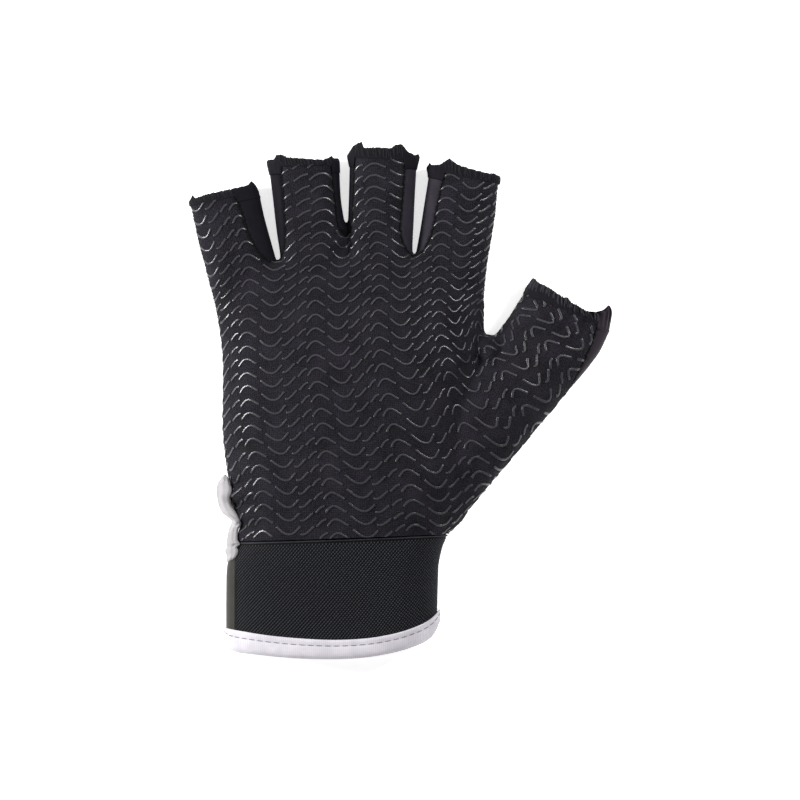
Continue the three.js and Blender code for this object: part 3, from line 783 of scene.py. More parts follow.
def joined_body():
    """The closed form of the sewn hand: its tubes joined, softened, and folded."""
    around = turns(120)
    wrist = HAND[0]._replace(ly=HAND[0].ly - MOUTH_REACH, ry=HAND[0].ry - MOUTH_REACH)
    forms = [[wrist, *smooth_rows(HAND, 2.0)]]
    for digit in DIGITS.values():
        rows = smooth_rows(digit.rows, 2.0)
        forms.append([*rows, carried_on(rows[-2], rows[-1], MOUTH_REACH)])
    bpy.ops.mesh.primitive_uv_sphere_add(segments=32, ring_count=16, radius=1, location=(0, 0, 0))
    web = bpy.context.object
    move_points(web, (np.array(WEB[0]) + coordinates(web.data) * WEB[1]) * MM)
    tubes = [loft("tube", np.array([section(row, around) for row in rows]), capped=True) for rows in forms]
    body = joined([*tubes, web])
    body.data.remesh_voxel_size = VOXEL * MM
    bpy.ops.object.voxel_remesh()
    apply_modifier(body, "SMOOTH", factor=0.5, iterations=9)
    points = coordinates(body.data) / MM
    normals = coordinates(body.data, key="normal")
    x, y = points[:, 0], points[:, 1]
    rise = 0.16 * np.sin(x / 4.7 + 1.3 * np.sin(y / 9.0)) * np.sin(y / 6.1 + 0.8 * np.sin(x / 11.0))
    gathers = [
        Fold(55.5 + 2.5 * i, 37.0 - 1.15 * i, 51.5 + 2.5 * i, 28.5 - 1.15 * i, 0.75, 0.5 * (-1) ** i)
        for i in range(8)
    ]
    for fold in FOLDS + gathers:
        start = np.array([fold.x0, fold.y0])
        run = np.array([fold.x1, fold.y1]) - start
        share = np.clip(((points[:, :2] - start) @ run) / (run @ run), 0, 1)
        away = np.linalg.norm(points[:, :2] - start - share[:, None] * run, axis=1)
        # A fold is deepest at the seam that gathers it, and dies out at its other end
        rise += fold.lift * (1 - 0.8 * share) * np.exp(-((away / fold.width) ** 2))
    facing = np.clip((normals[:, 2] + 0.1) / 0.6, 0, 1)
    points += normals * (rise * facing)[:, None]
    points[:, 2] = np.maximum(points[:, 2], 0.05)
    move_points(body, points * MM)
    return body


def bisect(shape, faces, place, normal, clear=False):
    """Cut some faces of a shape by a plane through a place. Gives the parts that the cut leaves."""
    parts = set(faces)
    for face in faces:
        parts.update(face.edges)
        parts.update(face.verts)
    cut = bmesh.ops.bisect_plane(
        shape,
        geom=list(parts),
        dist=1e-7,
        plane_co=place,
        plane_no=normal,
        clear_outer=clear,
    )
    return cut["geom"]


def cut_along(shape, pool, point, direction, reach, clear=False):
    """Cut the faces of a pool by an upright plane through a point, as far as reach to either side.

    Gives the pool with the new faces in it.
    """
    middle = Vector((*point, 0.0)) * MM
    ahead = Vector((*direction, 0.0)).normalized()
    side = Vector((-ahead.y, ahead.x, 0.0))
    near = []
    for face in pool:
        offset = face.calc_center_median() - middle
        if abs(offset.dot(side)) < reach[0] * MM and abs(offset.dot(ahead)) < reach[1] * MM:
            near.append(face)
    parts = bisect(shape, near, middle, ahead, clear)
    faces = {face for face in pool if face.is_valid}
    faces.update(part for part in parts if part.is_valid and isinstance(part, bmesh.types.BMFace))
    return faces


def inside(points, outline):
    """Which points lie inside an outline seen from above."""
    x, y = points[:, 0], points[:, 1]
    result = np.zeros(len(points), dtype=bool)
    for (ax, ay), (bx, by) in zip(outline, outline[1:] + outline[:1]):
        crosses = (ay > y) != (by > y)
        level = ax + (y - ay) * (bx - ax) / (by - ay if by != ay else 1.0)
        result ^= crosses & (x < level)
    return result


def seam_outlines():
    """The smooth seam of each strip, and the closed outline that its cut makes seen from above."""
    outlines = {}
    for name, seam in FOURCHETTES.items():
        curve = [tuple(point) for point in smooth_curve(seam, 2.2)]
        outlines[name] = (curve, curve)
    curve = [tuple(point) for point in smooth_curve(THUMB_SEAM, 3.0)]
    outlines["thumb_strip"] = (curve, curve + THUMB_STRIP_OUTSIDE)
    return outlines


def open_vent(shape):
    """Cut the side vent out of the sewn edge."""
    slit = VENT_SLIT
    planes = [
        ((0, 0, slit.low_z), (0, 0, 1)),
        ((0, 0, slit.high_z), (0, 0, 1)),
        ((0, slit.to_y, 0), (0, 1, 0)),
    ]
    for place, normal in planes:
        near = [face for face in shape.faces if in_slit(face, 2.0)]
        bisect(shape, near, Vector(place) * MM, normal)
    bmesh.ops.delete(shape, geom=[face for face in shape.faces if in_slit(face, 0.0)], context="FACES")


def in_slit(face, margin):
    """Whether a face lies in the vent, or within a margin of it."""
    x, y, z = face.calc_center_median() / MM
    slit = VENT_SLIT
    beside = x < slit.to_x and slit.from_y - margin < y < slit.to_y + margin
    return beside and slit.low_z - margin < z < slit.high_z + margin


def cut_body(body):
    """Cut the body at its openings and seams. Gives the shape and the name of each face's piece."""
    shape = bmesh.new()
    shape.from_mesh(body.data)
    everything = set(shape.faces)
    start = (HAND[0].lx, WRIST_Y)
    reach = (120.0, MOUTH_REACH + 2.0)
    everything = cut_along(shape, everything, start, (WRIST_RISE, -1.0), reach, clear=True)
    for name, digit in DIGITS.items():
        opening = carried_on(digit.rows[-2], digit.rows[-1], HEM_SHORT[name])
        middle = ((opening.lx + opening.rx) / 2, (opening.ly + opening.ry) / 2)
        width = math.hypot(opening.rx - opening.lx, opening.ry - opening.ly)
        outward = (opening.ly - opening.ry, opening.rx - opening.lx)
        reach = (width / 2 + 4.0, MOUTH_REACH + 3.0)
        everything = cut_along(shape, everything, middle, outward, reach, clear=True)
    outlines = seam_outlines()
    for seam, outline in outlines.values():
        low = Vector((min(x for x, y in seam) - 4, min(y for x, y in seam) - 4, 0)) * MM
        high = Vector((max(x for x, y in seam) + 4, max(y for x, y in seam) + 4, 0)) * MM
        pool = set()
        for face in shape.faces:
            at = face.calc_center_median()
            if low.x < at.x < high.x and low.y < at.y < high.y:
                pool.add(face)
        for (ax, ay), (bx, by) in zip(seam, seam[1:]):
            middle = ((ax + bx) / 2, (ay + by) / 2)
            reach = (math.hypot(bx - ax, by - ay) / 2 + 0.6, 1.5)
            pool = cut_along(shape, pool, middle, (ay - by, bx - ax), reach)
    bisect(shape, shape.faces[:], (0, 0, SEAM_Z * MM), (0, 0, 1))
    open_vent(shape)
    shape.faces.index_update()
    centres = np.array([face.calc_center_median() for face in shape.faces]) / MM
    labels = np.where(centres[:, 2] > SEAM_Z, "palm_panel", "back_panel").astype(object)
    for name, (seam, outline) in outlines.items():
        labels[inside(centres, outline)] = name
    return shape, labels


def seam_paths(shape, labels):
    """Rows of points and normals along every edge that two pieces share."""
    links = defaultdict(list)
    for edge in shape.edges:
        if len(edge.link_faces) == 2:
            one, other = (labels[face.index] for face in edge.link_faces)
            if one != other:
                pair = tuple(sorted((one, other)))
                for vertex, end in (edge.verts, reversed(edge.verts)):
                    links[pair, vertex].append(end)
    paths = []
    used = set()
    starts = sorted(links, key=lambda key: (len(links[key]) == 2, key[0], key[1].index))
    for pair, vertex in starts:
        for end in links[pair, vertex]:
            if (pair, frozenset((vertex.index, end.index))) in used:
                continue
            path = [vertex]
            here, following = vertex, end
            while following is not None:
                used.add((pair, frozenset((here.index, following.index))))
                path.append(following)
                options = [
                    option
                    for option in links[pair, following]
                    if (pair, frozenset((following.index, option.index))) not in used
                ]
                goes_on = len(links[pair, following]) == 2 and options
                here, following = following, options[0] if goes_on else None
            points = np.array([v.co[:] for v in path]) / MM
            paths.append((pair, points, np.array([v.normal[:] for v in path])))
    return paths


def draw_seams_in(shape, labels):
    """Roll the cloth in along the seams, so that they lie in soft grooves."""
    seam = set()
    for edge in shape.edges:
        names = {labels[face.index] for face in edge.link_faces}
        if len(names) > 1:
            seam.update(edge.verts)
    tree = KDTree(len(seam))
    for i, vertex in enumerate(seam):
        tree.insert(vertex.co, i)
    tree.balance()
    moves = {}
    for vertex in shape.verts:
        away = tree.find(vertex.co)[2] / MM
        if away < SEAM_ROLL:
            depth = SEAM_DEPTH * (1 - away / SEAM_ROLL) ** 2
            moves[vertex] = vertex.co - vertex.normal * depth * MM
    for vertex, place in moves.items():
        vertex.co = place
        vertex.co.z = max(vertex.co.z, 0.0)


def piece_of(shape, labels, name):
    """The faces of one piece as a sheet of its own."""
    places = {}
    points = []
    faces = []
    for face in shape.faces:
        if labels[face.index] != name:
            continue
        corners = []
        for vertex in face.verts:
            if vertex.index not in places:
                places[vertex.index] = len(points)
                points.append(np.array(vertex.co) / MM)
            corners.append(places[vertex.index])
        faces.append(corners)
    return new_object(name, points, faces)


def lay_flat(obj):
    """Unroll a sheet: each point's place in the cut cloth, as the attribute flat, and the cut's size."""
    activate(obj)
    bpy.ops.object.mode_set(mode="EDIT")
    bpy.ops.mesh.select_all(action="SELECT")
    bpy.ops.uv.unwrap(method="ANGLE_BASED", margin=0.0)
    bpy.ops.object.mode_set(mode="OBJECT")
    mesh = obj.data
    layer = mesh.uv_layers.active
    uv = np.empty(len(mesh.loops) * 2)
    layer.data.foreach_get("uv", uv)
    corner = np.empty(len(mesh.loops), dtype=int)
    mesh.loops.foreach_get("vertex_index", corner)
    flat = np.zeros((len(mesh.vertices), 2))
    flat[corner] = uv.reshape(-1, 2)
    mesh.uv_layers.remove(layer)
    mesh.calc_loop_triangles()
    triangles = np.empty(len(mesh.loop_triangles) * 3, dtype=int)
    mesh.loop_triangles.foreach_get("vertices", triangles)
    triangles = triangles.reshape(-1, 3)
    points = coordinates(mesh)
    a, b, c = (points[triangles[:, i]] for i in range(3))
    area = np.linalg.norm(np.cross(b - a, c - a), axis=1).sum() / 2
    fa, fb, fc = (flat[triangles[:, i]] for i in range(3))
    ab, ac = fb - fa, fc - fa
    flat_area = np.abs(ab[:, 0] * ac[:, 1] - ab[:, 1] * ac[:, 0]).sum() / 2
    flat *= math.sqrt(area / flat_area)
    # Turn the cut to lie under the middle of the sheet as it is seen from above
    level = np.abs(coordinates(mesh, key="normal")[:, 2]) > 0.9
    level = level if level.sum() > 10 else np.ones(len(points), dtype=bool)
    middle_flat, middle = flat[level].mean(axis=0), points[level, :2].mean(axis=0)
    left, _, right = np.linalg.svd((flat[level] - middle_flat).T @ (points[level, :2] - middle))
    flat = (flat - middle_flat) @ (left @ right) + middle
    attribute = mesh.attributes.new("flat", "FLOAT_VECTOR", "POINT")
    attribute.data.foreach_set("vector", np.column_stack([flat, np.zeros(len(flat))]).ravel())
    size = flat.max(axis=0) - flat.min(axis=0)
    return flat, triangles, (float(size[0]), float(size[1])), float(area)


def raised_bar():
    """One straight line of the print: a strip drawn out in short steps, then thickened and rounded."""
    bpy.ops.object.select_all(action="DESELECT")
    bpy.ops.mesh.primitive_plane_add(size=1, location=(0, 0, 0))
    bar = bpy.context.object
    step = GRIP_BAR / GRIP_STEPS
    bpy.ops.object.mode_set(mode="EDIT")
    bpy.ops.transform.resize(value=(step * MM, GRIP_WIDTH * MM, 1))
    bpy.ops.transform.translate(value=(step / 2 * MM, 0, 0))
    bpy.ops.mesh.select_mode(type="EDGE")
    bpy.ops.mesh.select_all(action="DESELECT")
    bpy.ops.object.mode_set(mode="OBJECT")
    for edge in bar.data.edges:
        edge.select = all(bar.data.vertices[i].co.x > step / 2 * MM for i in edge.vertices)
    bpy.ops.object.mode_set(mode="EDIT")
    for _ in range(GRIP_STEPS - 1):
        bpy.ops.mesh.extrude_region_move(TRANSFORM_OT_translate={"value": (step * MM, 0, 0)})
    bpy.ops.object.mode_set(mode="OBJECT")
    apply_modifier(bar, "SOLIDIFY", thickness=GRIP_HEIGHT * MM, offset=1.0)
    soften_edges(bar, GRIP_ROUND, 50)
    return taken(bar)


def bent(points, line):
    """A straight bar's points bent along a line of the flat cut: their places, and their heights."""
    along = chord(line)
    long = along[-1]
    x = points[:, 0]
    end = 0.6  # the bar's ends keep their length
    middle = end + (x - end) * (long - 2 * end) / (GRIP_BAR - 2 * end)
    at = np.where(x < end, x, np.where(x > GRIP_BAR - end, long - GRIP_BAR + x, middle))
    run = unit(sampled(np.gradient(line, axis=0), along, at))
    side = np.column_stack([-run[:, 1], run[:, 0]])
    return sampled(line, along, at) + side * points[:, 1:2], points[:, 2]


def crest_table(tree, triangles, points, flat):
    """The places of the crests on the flat cut: for each listed row, one place in each column."""
    table = []
    for places in CRESTS.values():
        row = []
        for x, y in places:
            near, _, index, _ = tree.find_nearest((x * MM, y * MM, 0.0))
            share = corner_shares(near, points[triangles[index], :2])
            shift = share @ (flat[triangles[index]] - points[triangles[index], :2])
            row.append((x + shift[0] / MM, y + shift[1] / MM))
        table.append(row)
    rows = np.array(list(CRESTS), dtype=float)
    places = np.array(table)
    fine = np.arange(rows[0], rows[-1] + 0.5, 1.0)
    columns = [smooth_curve(places[:, i], 1.0, rows - rows[0]) for i in range(places.shape[1])]
    return fine, np.stack([column[: len(fine)] for column in columns], axis=1)


def wave_place(table, column, row):
    """Where a place of the wave lies on the cut cloth, counted in columns and in rows down."""
    rows, places = table
    i = np.clip(column - FIRST_COLUMN, 0, places.shape[1] - 1.001)
    j = np.clip(row - rows[0], 0, len(rows) - 1.001)
    i0, j0 = i.astype(int), j.astype(int)
    u, v = (i - i0)[:, None], (j - j0)[:, None]
    upper = places[j0, i0] * (1 - u) + places[j0, i0 + 1] * u
    lower = places[j0 + 1, i0] * (1 - u) + places[j0 + 1, i0 + 1] * u
    return upper * (1 - v) + lower * v


def corner_shares(point, corners):
    """The share of each of a triangle's corners in a point of its plane seen from above."""
    a, b, c = corners
    system = np.array([[a[0], b[0], c[0]], [a[1], b[1], c[1]], [1, 1, 1]])
    return np.linalg.lstsq(system, np.array([point[0], point[1], 1.0]), rcond=None)[0]


def grip_print(palm, flat, triangles):
    """The whole print: copies of one raised bar, bent along the wave and laid on the palm.

    The cloth is stretched over the thumb, and its print with it.
    """
    points, faces = raised_bar()
    paths = [smooth_curve(path, 0.4) for path in GRIP_PATHS.values()]
    points3 = coordinates(palm.data)
    normals = coordinates(palm.data, key="normal")
    cut = np.column_stack([flat, np.zeros(len(flat))])
    tree = BVHTree.FromPolygons(cut.tolist(), triangles.tolist(), all_triangles=True)
    level = np.column_stack([points3[:, :2], np.zeros(len(flat))])
    seen = BVHTree.FromPolygons(level.tolist(), triangles.tolist(), all_triangles=True)
    table = crest_table(seen, triangles, points3, flat)
    all_points = []
    all_faces = []
    for row in range(min(CRESTS), max(CRESTS) - 1):
        for column in range(FIRST_COLUMN, FIRST_COLUMN + len(CRESTS[0]) - 1):
            for path in paths:
                line = wave_place(table, column + path[:, 0] / GRIP_PERIOD, row + path[:, 1] / GRIP_ROW)
                for _ in range(4):
                    line[1:-1] = (line[:-2] + 2 * line[1:-1] + line[2:]) / 4
                wide = np.interp(line[:, 0].mean(), [22.0, 45.0], [1.0, 1.15])
                place, height = bent(points * [1.0, wide, 1.0], line)
                laid = lay_on(tree, place * MM, height * MM, cut, triangles, points3, normals)
                if laid is not None:
                    start = len(all_points)
                    all_points.extend(laid / MM)
                    all_faces.extend([[start + i for i in face] for face in faces])
    return new_object("grip_print", all_points, all_faces)


def lay_on(tree, places, heights, cut, triangles, points, normals):
    """Points over the flat cut, moved onto the worn sheet at their heights, or None off the cloth."""
    laid = np.empty((len(places), 3))
    outside = 0
    for i, (x, y) in enumerate(places):
        near, _, index, away = tree.find_nearest((x, y, 0.0), 0.006)
        if near is None:
            return None
        outside += away > 0.05 * MM
        if outside > 0.7 * len(places):
            return None
        corners = triangles[index]
        share = corner_shares(near, cut[corners, :2])
        up = share @ normals[corners]
        laid[i] = share @ points[corners] + up / np.linalg.norm(up) * heights[i]
    return laid


def capsule(radius, length):
    """One short length of thread with round ends, along Z."""
    bpy.ops.object.select_all(action="DESELECT")
    bpy.ops.mesh.primitive_uv_sphere_add(segments=6, ring_count=4, radius=radius * MM, location=(0, 0, 0))
    piece = bpy.context.object
    bpy.ops.object.mode_set(mode="EDIT")
    bpy.ops.mesh.select_mode(type="VERT")
    bpy.ops.mesh.select_all(action="DESELECT")
    bpy.ops.object.mode_set(mode="OBJECT")
    for side in (1, -1):
        for vertex in piece.data.vertices:
            vertex.select = vertex.co.z * side > 0
        bpy.ops.object.mode_set(mode="EDIT")
        bpy.ops.transform.translate(value=(0, 0, side * (length / 2 - radius) * MM))
        bpy.ops.mesh.select_all(action="DESELECT")
        bpy.ops.object.mode_set(mode="OBJECT")
    return taken(piece)


def strew(name, shape, places, ahead, up):
    """Copies of one small shape: its Z along each ahead, its X along each up."""
    points, faces = shape
    ahead = unit(ahead)
    side = unit(np.cross(ahead, up))
    out = np.cross(side, ahead)
    copies = (
        places[:, None]
        + points[None, :, 2:3] * ahead[:, None]
        + points[None, :, 0:1] * out[:, None]
        + points[None, :, 1:2] * side[:, None]
    )
    count = len(points)
    joined = [[i * count + corner for corner in face] for i in range(len(places)) for face in faces]
    return new_object(name, copies.reshape(-1, 3), joined)


def seam_stitches(paths):
    """Zigzag stitches over each seam, pulled down into its groove."""
    pitch, reach = 1.4, 0.75
    places, ahead, up = [], [], []
    for pair, points, normals in paths:
        along = chord(points)
        if along[-1] < 3 * pitch:
            continue
        at = np.arange(pitch / 2, along[-1], pitch)
        spot = sampled(points, along, at)
        face = sampled(normals, along, at)
        run = unit(np.gradient(spot, axis=0), 1e-9)
        side = np.cross(run, face)
        slant = np.where(np.arange(len(at)) % 2, 1.0, -1.0)[:, None]
        places.append(spot - face * (SEAM_DEPTH - 0.34))
        ahead.append(side * reach + run * slant * 0.55)
        up.append(face)
    spots = np.vstack(places)
    keep = spots[:, 2] > 1.2
    return strew(
        "seam_stitches",
        capsule(0.27, 1.4),
        spots[keep],
        np.vstack(ahead)[keep],
        np.vstack(up)[keep],
    )


def half_surface(obj):
    """The area of one face of a closed piece of cloth, in square metres."""
    return sum(face.area for face in obj.data.polygons) / 2


def seam_grooves(paths):
    """The dark line of tight thread at the bottom of each seam."""
    lines = []
    for pair, points, normals in paths:
        along = chord(points)
        if along[-1] > 4.0:
            at = np.linspace(0, along[-1], round(along[-1] / 0.6))
            spot = sampled(points, along, at)
            face = sampled(normals, along, at)
            wobble = 0.12 * np.sin(at * 2 * np.pi / 1.4)[:, None] * np.cross(np.gradient(spot, axis=0), face)
            line = spot - face * (SEAM_DEPTH - 0.12) + wobble
            line[:, 2] = np.maximum(line[:, 2], 0.4)
            lines.append(cords("seam_line", line[None], face[None], 0.3))
    grooves = joined(lines)
    grooves.name = "seam_lines"
    return grooves


def sheet_facts(obj, size, area):
    """Unpack the size of a piece's flat cut; nothing more is done with it."""
    width, length = size


def keep_over_floor(obj):
    """Lift the few corners that the thickening pushed under the floor."""
    points = coordinates(obj.data)
    points[:, 2] = np.maximum(points[:, 2], 0.03 * MM)
    move_points(obj, points)


def hand_panels():
    """The palm, the back and the strips, cut from one sewn body, with the seams' stitches."""
    body = joined_body()
    shape, labels = cut_body(body)
    bpy.data.objects.remove(body)
    shape.normal_update()
    shape.verts.index_update()
    paths = seam_paths(shape, labels)
    draw_seams_in(shape, labels)
    finishes = {
        "palm_panel": "palm_knit",
        "back_panel": "back_knit",
        **{name: "smooth_strip" for name in (*FOURCHETTES, "thumb_strip")},
    }
    made = {}
    for name, finish in finishes.items():
        piece = piece_of(shape, labels, name)
        piece.name = f"{name}_cloth"
        flat, triangles, size, area = lay_flat(piece)
        if name == "palm_panel":
            made["grip_print"] = grip_print(piece, flat, triangles)
        apply_modifier(piece, "SOLIDIFY", thickness=CLOTH * MM, offset=-1.0)
        keep_over_floor(piece)
        shade(piece, 50)
        finish_piece(piece, name if name in MATERIALS else finish, finish, name)
        made[name] = piece
        sheet_facts(piece, size, area)
    shape.free()
    shade(made["grip_print"], 50)
    finish_piece(made["grip_print"], "grip_silicone", "grip_silicone")
    for sewn in (seam_stitches(paths), seam_grooves(paths)):
        shade(sewn)
        finish_piece(sewn, "seam_thread", "hem_thread")
    return made


def cords(name, paths, outs, radius, sides=6):
    """Short lengths of thread along rows of points. outs point away from the cloth under them."""
    ahead = unit(np.gradient(paths, axis=1), 1e-9)
    up = unit(outs - (outs * ahead).sum(axis=2, keepdims=True) * ahead, 1e-9)
    side = np.cross(ahead, up)
    around = turns(sides)
    slim = np.ones(paths.shape[1])
    slim[[0, -1]] = 0.45
    ring = np.cos(around)[:, None] * up[:, :, None] + np.sin(around)[:, None] * side[:, :, None]
    points = paths[:, :, None] + ring * (radius * slim)[None, :, None, None]
    count = paths.shape[1] * sides
    grid = grid_faces(paths.shape[1], sides, True, False).tolist()
    grid += [list(range(sides)), list(range(count - sides, count))]
    faces = [[i * count + corner for corner in face] for i in range(len(paths)) for face in grid]
    obj = new_object(name, points.reshape(-1, 3), faces)
    face_outwards(obj)
    return obj


def on_strip(points):
    """Which points lie over the smooth strips, seen from above."""
    found = np.zeros(len(points), dtype=bool)
    for _, outline in seam_outlines().values():
        found |= inside(points, outline)
    return found


# How much narrower each hem is where it isn't turned over a strip
HEM_SHORT = {"little": 2.3, "ring": 2.9, "middle": 3.4, "index": 2.9, "thumb": 0.9}

# The section of a hem: the share of the way from the cloth's cut end to the rim, and the inset
HEM_PROFILE = [
    (0.0, 0.5), (0.0, 0.1), (0.03, -0.14), (0.12, -0.24), (0.3, -0.28), (0.45, -0.32), (0.6, -0.36),
    (0.75, -0.36), (0.88, -0.3), (0.96, -0.05), (1.0, 0.35), (1.0, 0.9), (0.97, 1.3), (0.85, 1.5),
    (0.5, 1.5), (0.0, 1.5),
]
THREADED = range(4, 13)  # the rows of the section that the overlock threads lie on


def hem(name, digit):
    """The folded hem round one opening, with the ears of its seams, and its slanted overlock threads."""
    count = 300
    around = turns(count)
    opening, rim = digit.rows[-1], digit.hem
    start = carried_on(digit.rows[-2], opening, -0.5)
    across = np.array([rim.rx - rim.lx, rim.ry - rim.ly])
    across = across / np.linalg.norm(across)
    outward = np.array([-across[1], across[0]])
    middle = np.array([rim.lx + rim.rx, rim.ly + rim.ry]) / 2
    outline = (np.array(digit.rim) - middle) @ np.column_stack([across, outward])
    thumb = name == "thumb"
    rings = []
    for share, inset in HEM_PROFILE:
        row = Row(*(np.array(start) * (1 - share) + np.array(rim) * share))
        points = section(row._replace(base=max(0.0, -inset)), around, inset)
        local = (points[:, :2] - middle) @ across
        wanted = np.interp(local, outline[:, 0], outline[:, 1])
        over = np.clip((points[:, 2] - 3.0) / 5.0, 0, 1)
        rise = np.where(wanted < 0, wanted, wanted * (0.25 + 0.75 * over))
        arc = chord(points)
        wave = np.sin(arc / 0.36 + 2.1 * np.sin(arc / 3.7))
        gathered = np.clip((local + 5.0) / 8.0, 0.1, 1.0) * 0.7 if thumb else 0.05
        rise += 0.15 * wave * (1 + 4 * gathered)
        rise = rise * share**1.6 + HEM_SHORT[name] * max(0.0, 1 - share / 0.6) * ~on_strip(points)
        points[:, :2] += outward * rise[:, None]
        points[:, 2] += gathered * wave * share * over
        rings.append(points)
    rings = np.array(rings)
    obj = loft(f"{name}_hem_fold", rings, loop=True)
    shade(obj, 60)
    finish_piece(obj, "hem_thread", "hem_thread", f"{name}_hem")
    obj.data.materials.append(MATERIALS["thumb_strip" if thumb else "smooth_strip"])
    over_strip = on_strip(np.array([face.center[:] for face in obj.data.polygons]) / MM)
    obj.data.polygons.foreach_set("material_index", over_strip.astype(np.int32))
    arc = chord(np.vstack([rings[7], rings[7][:1]]))
    pitch = arc[-1] / round(arc[-1] / (0.95 if thumb else 1.0))
    chance = np.random.default_rng(len(name) * 7 + 3)
    starts = np.arange(0, arc[-1] - 0.1, pitch)
    starts = starts + chance.uniform(-0.3, 0.3, len(starts)) * pitch
    slant = chance.uniform(0.5, 2.4, len(starts))
    paths, outs = [], []
    for k in THREADED:
        place = np.interp((starts + slant * HEM_PROFILE[k][0]) % arc[-1], arc, np.arange(count + 1))
        low = place.astype(int)
        part = (place - low)[:, None]
        near, far = rings[k][low % count], rings[k][(low + 1) % count]
        paths.append(near * (1 - part) + far * part)
        outs.append(paths[-1] - rings[k].mean(axis=0))
    paths = np.stack(paths, axis=1)
    outs = np.stack(outs, axis=1)
    bare = on_strip(paths[:, 2, :2]) | (paths[:, 3, 2] < 2.0)
    first = chance.uniform(0, 2.6, len(starts))
    last = chance.uniform(5.6, 8.0, len(starts))
    at = first[:, None] + (last - first)[:, None] * np.linspace(0, 1, 9)
    low = np.minimum(at.astype(int), 7)
    part = (at - low)[:, :, None]
    each = np.arange(len(starts))[:, None]
    paths = paths[each, low] * (1 - part) + paths[each, low + 1] * part
    outs = outs[each, low]
    threads = cords(f"{name}_overlock_threads", paths[~bare], outs[~bare], 0.3 if thumb else 0.23)
    shade(threads)
    finish_piece(threads, "loose_overlock" if thumb else "overlock", "hem_thread")
    size = (float(arc[-1]) * MM, 2 * HEM_TALL * MM)
    sheet_facts(obj, size, half_surface(obj))


def rim_y(x, column):
    """Where the white tape starts or ends, at one place across the cuff."""
    table = smooth_curve(RIM, 2.0)
    return np.interp(x, table[:, 0], table[:, 1 if column == "start" else 2])


def cuff_edges(down):
    """The cuff's left and right edge at a share of its way down."""
    values = np.array(CUFF)
    return np.interp(down, values[:, 0], values[:, 1]), np.interp(down, values[:, 0], values[:, 2])


def cuff_ring(down, inset, around, y_of=None):
    """One ring of the cuff at a share of its way down."""
    left, right = cuff_edges(down)
    row = Row(left, 0, right, 0, CUFF_CROWN, CUFF_LIFT)
    points = section(row, around, inset)
    if y_of is None:
        top = CUFF_TOP_Y + WRIST_RISE * (points[:, 0] - HAND[0].lx)
        points[:, 1] = top + (rim_y(points[:, 0], "start") - BINDING_GRIP - top) * down
    else:
        points[:, 1] = y_of(points[:, 0])
    return points


def band(name, turns_at, count, depths):
    """A band of the cuff with two faces and soft edges.

    depths gives rows of the share of the way down, the outer inset and the inner one.
    """
    outer = []
    inner = []
    for down, out, inn in depths:
        around = np.linspace(*turns_at(down), count)
        outer.append(cuff_ring(down, out, around))
        inner.append(cuff_ring(down, inn, around))
    rings = np.array(outer + inner[::-1])
    rows, columns = rings.shape[:2]
    faces = grid_faces(rows, columns, False, True).tolist()
    for end in (0, columns - 1):
        for i in range(rows // 2 - 1):
            corners = (i, i + 1, rows - 2 - i, rows - 1 - i)
            faces.append([corner * columns + end for corner in corners])
    obj = new_object(name, rings.reshape(-1, 3), faces)
    face_outwards(obj)
    return obj, np.array(outer)


def store_flat(obj, along, across):
    """Keep each point's place on the flat cloth, given as rows in millimetres."""
    along, across = np.broadcast_arrays(along, across)
    flat = np.stack([along, across, np.zeros(along.shape)], axis=-1)
    attribute = obj.data.attributes.new("flat", "FLOAT_VECTOR", "POINT")
    attribute.data.foreach_set("vector", flat.ravel() * MM)


def away_from_middle(points):
    """Directions out of the cuff, level with its rings."""
    outs = points - CUFF_MIDDLE
    outs[:, 1] = 0
    return outs


def elastic_turns(down):
    """The turns of the cuff that the woven elastic covers, from the strap's end on the back to its edge."""
    fine = np.linspace(-np.pi, np.pi, 2001)
    points = cuff_ring(down, 0.0, fine)
    bare = (points[:, 0] > STRAP_EDGE_X) & (points[:, 2] > SEAM_Z) | (points[:, 0] > STRAP_END_X)
    return fine[bare].min() - 0.02, fine[bare].max() + 0.02


def strap_turns(down):
    """The turns that the strap covers: the rest, with its edges over the elastic's."""
    low, high = elastic_turns(down)
    return high - 0.03, low + 2 * np.pi + 0.03


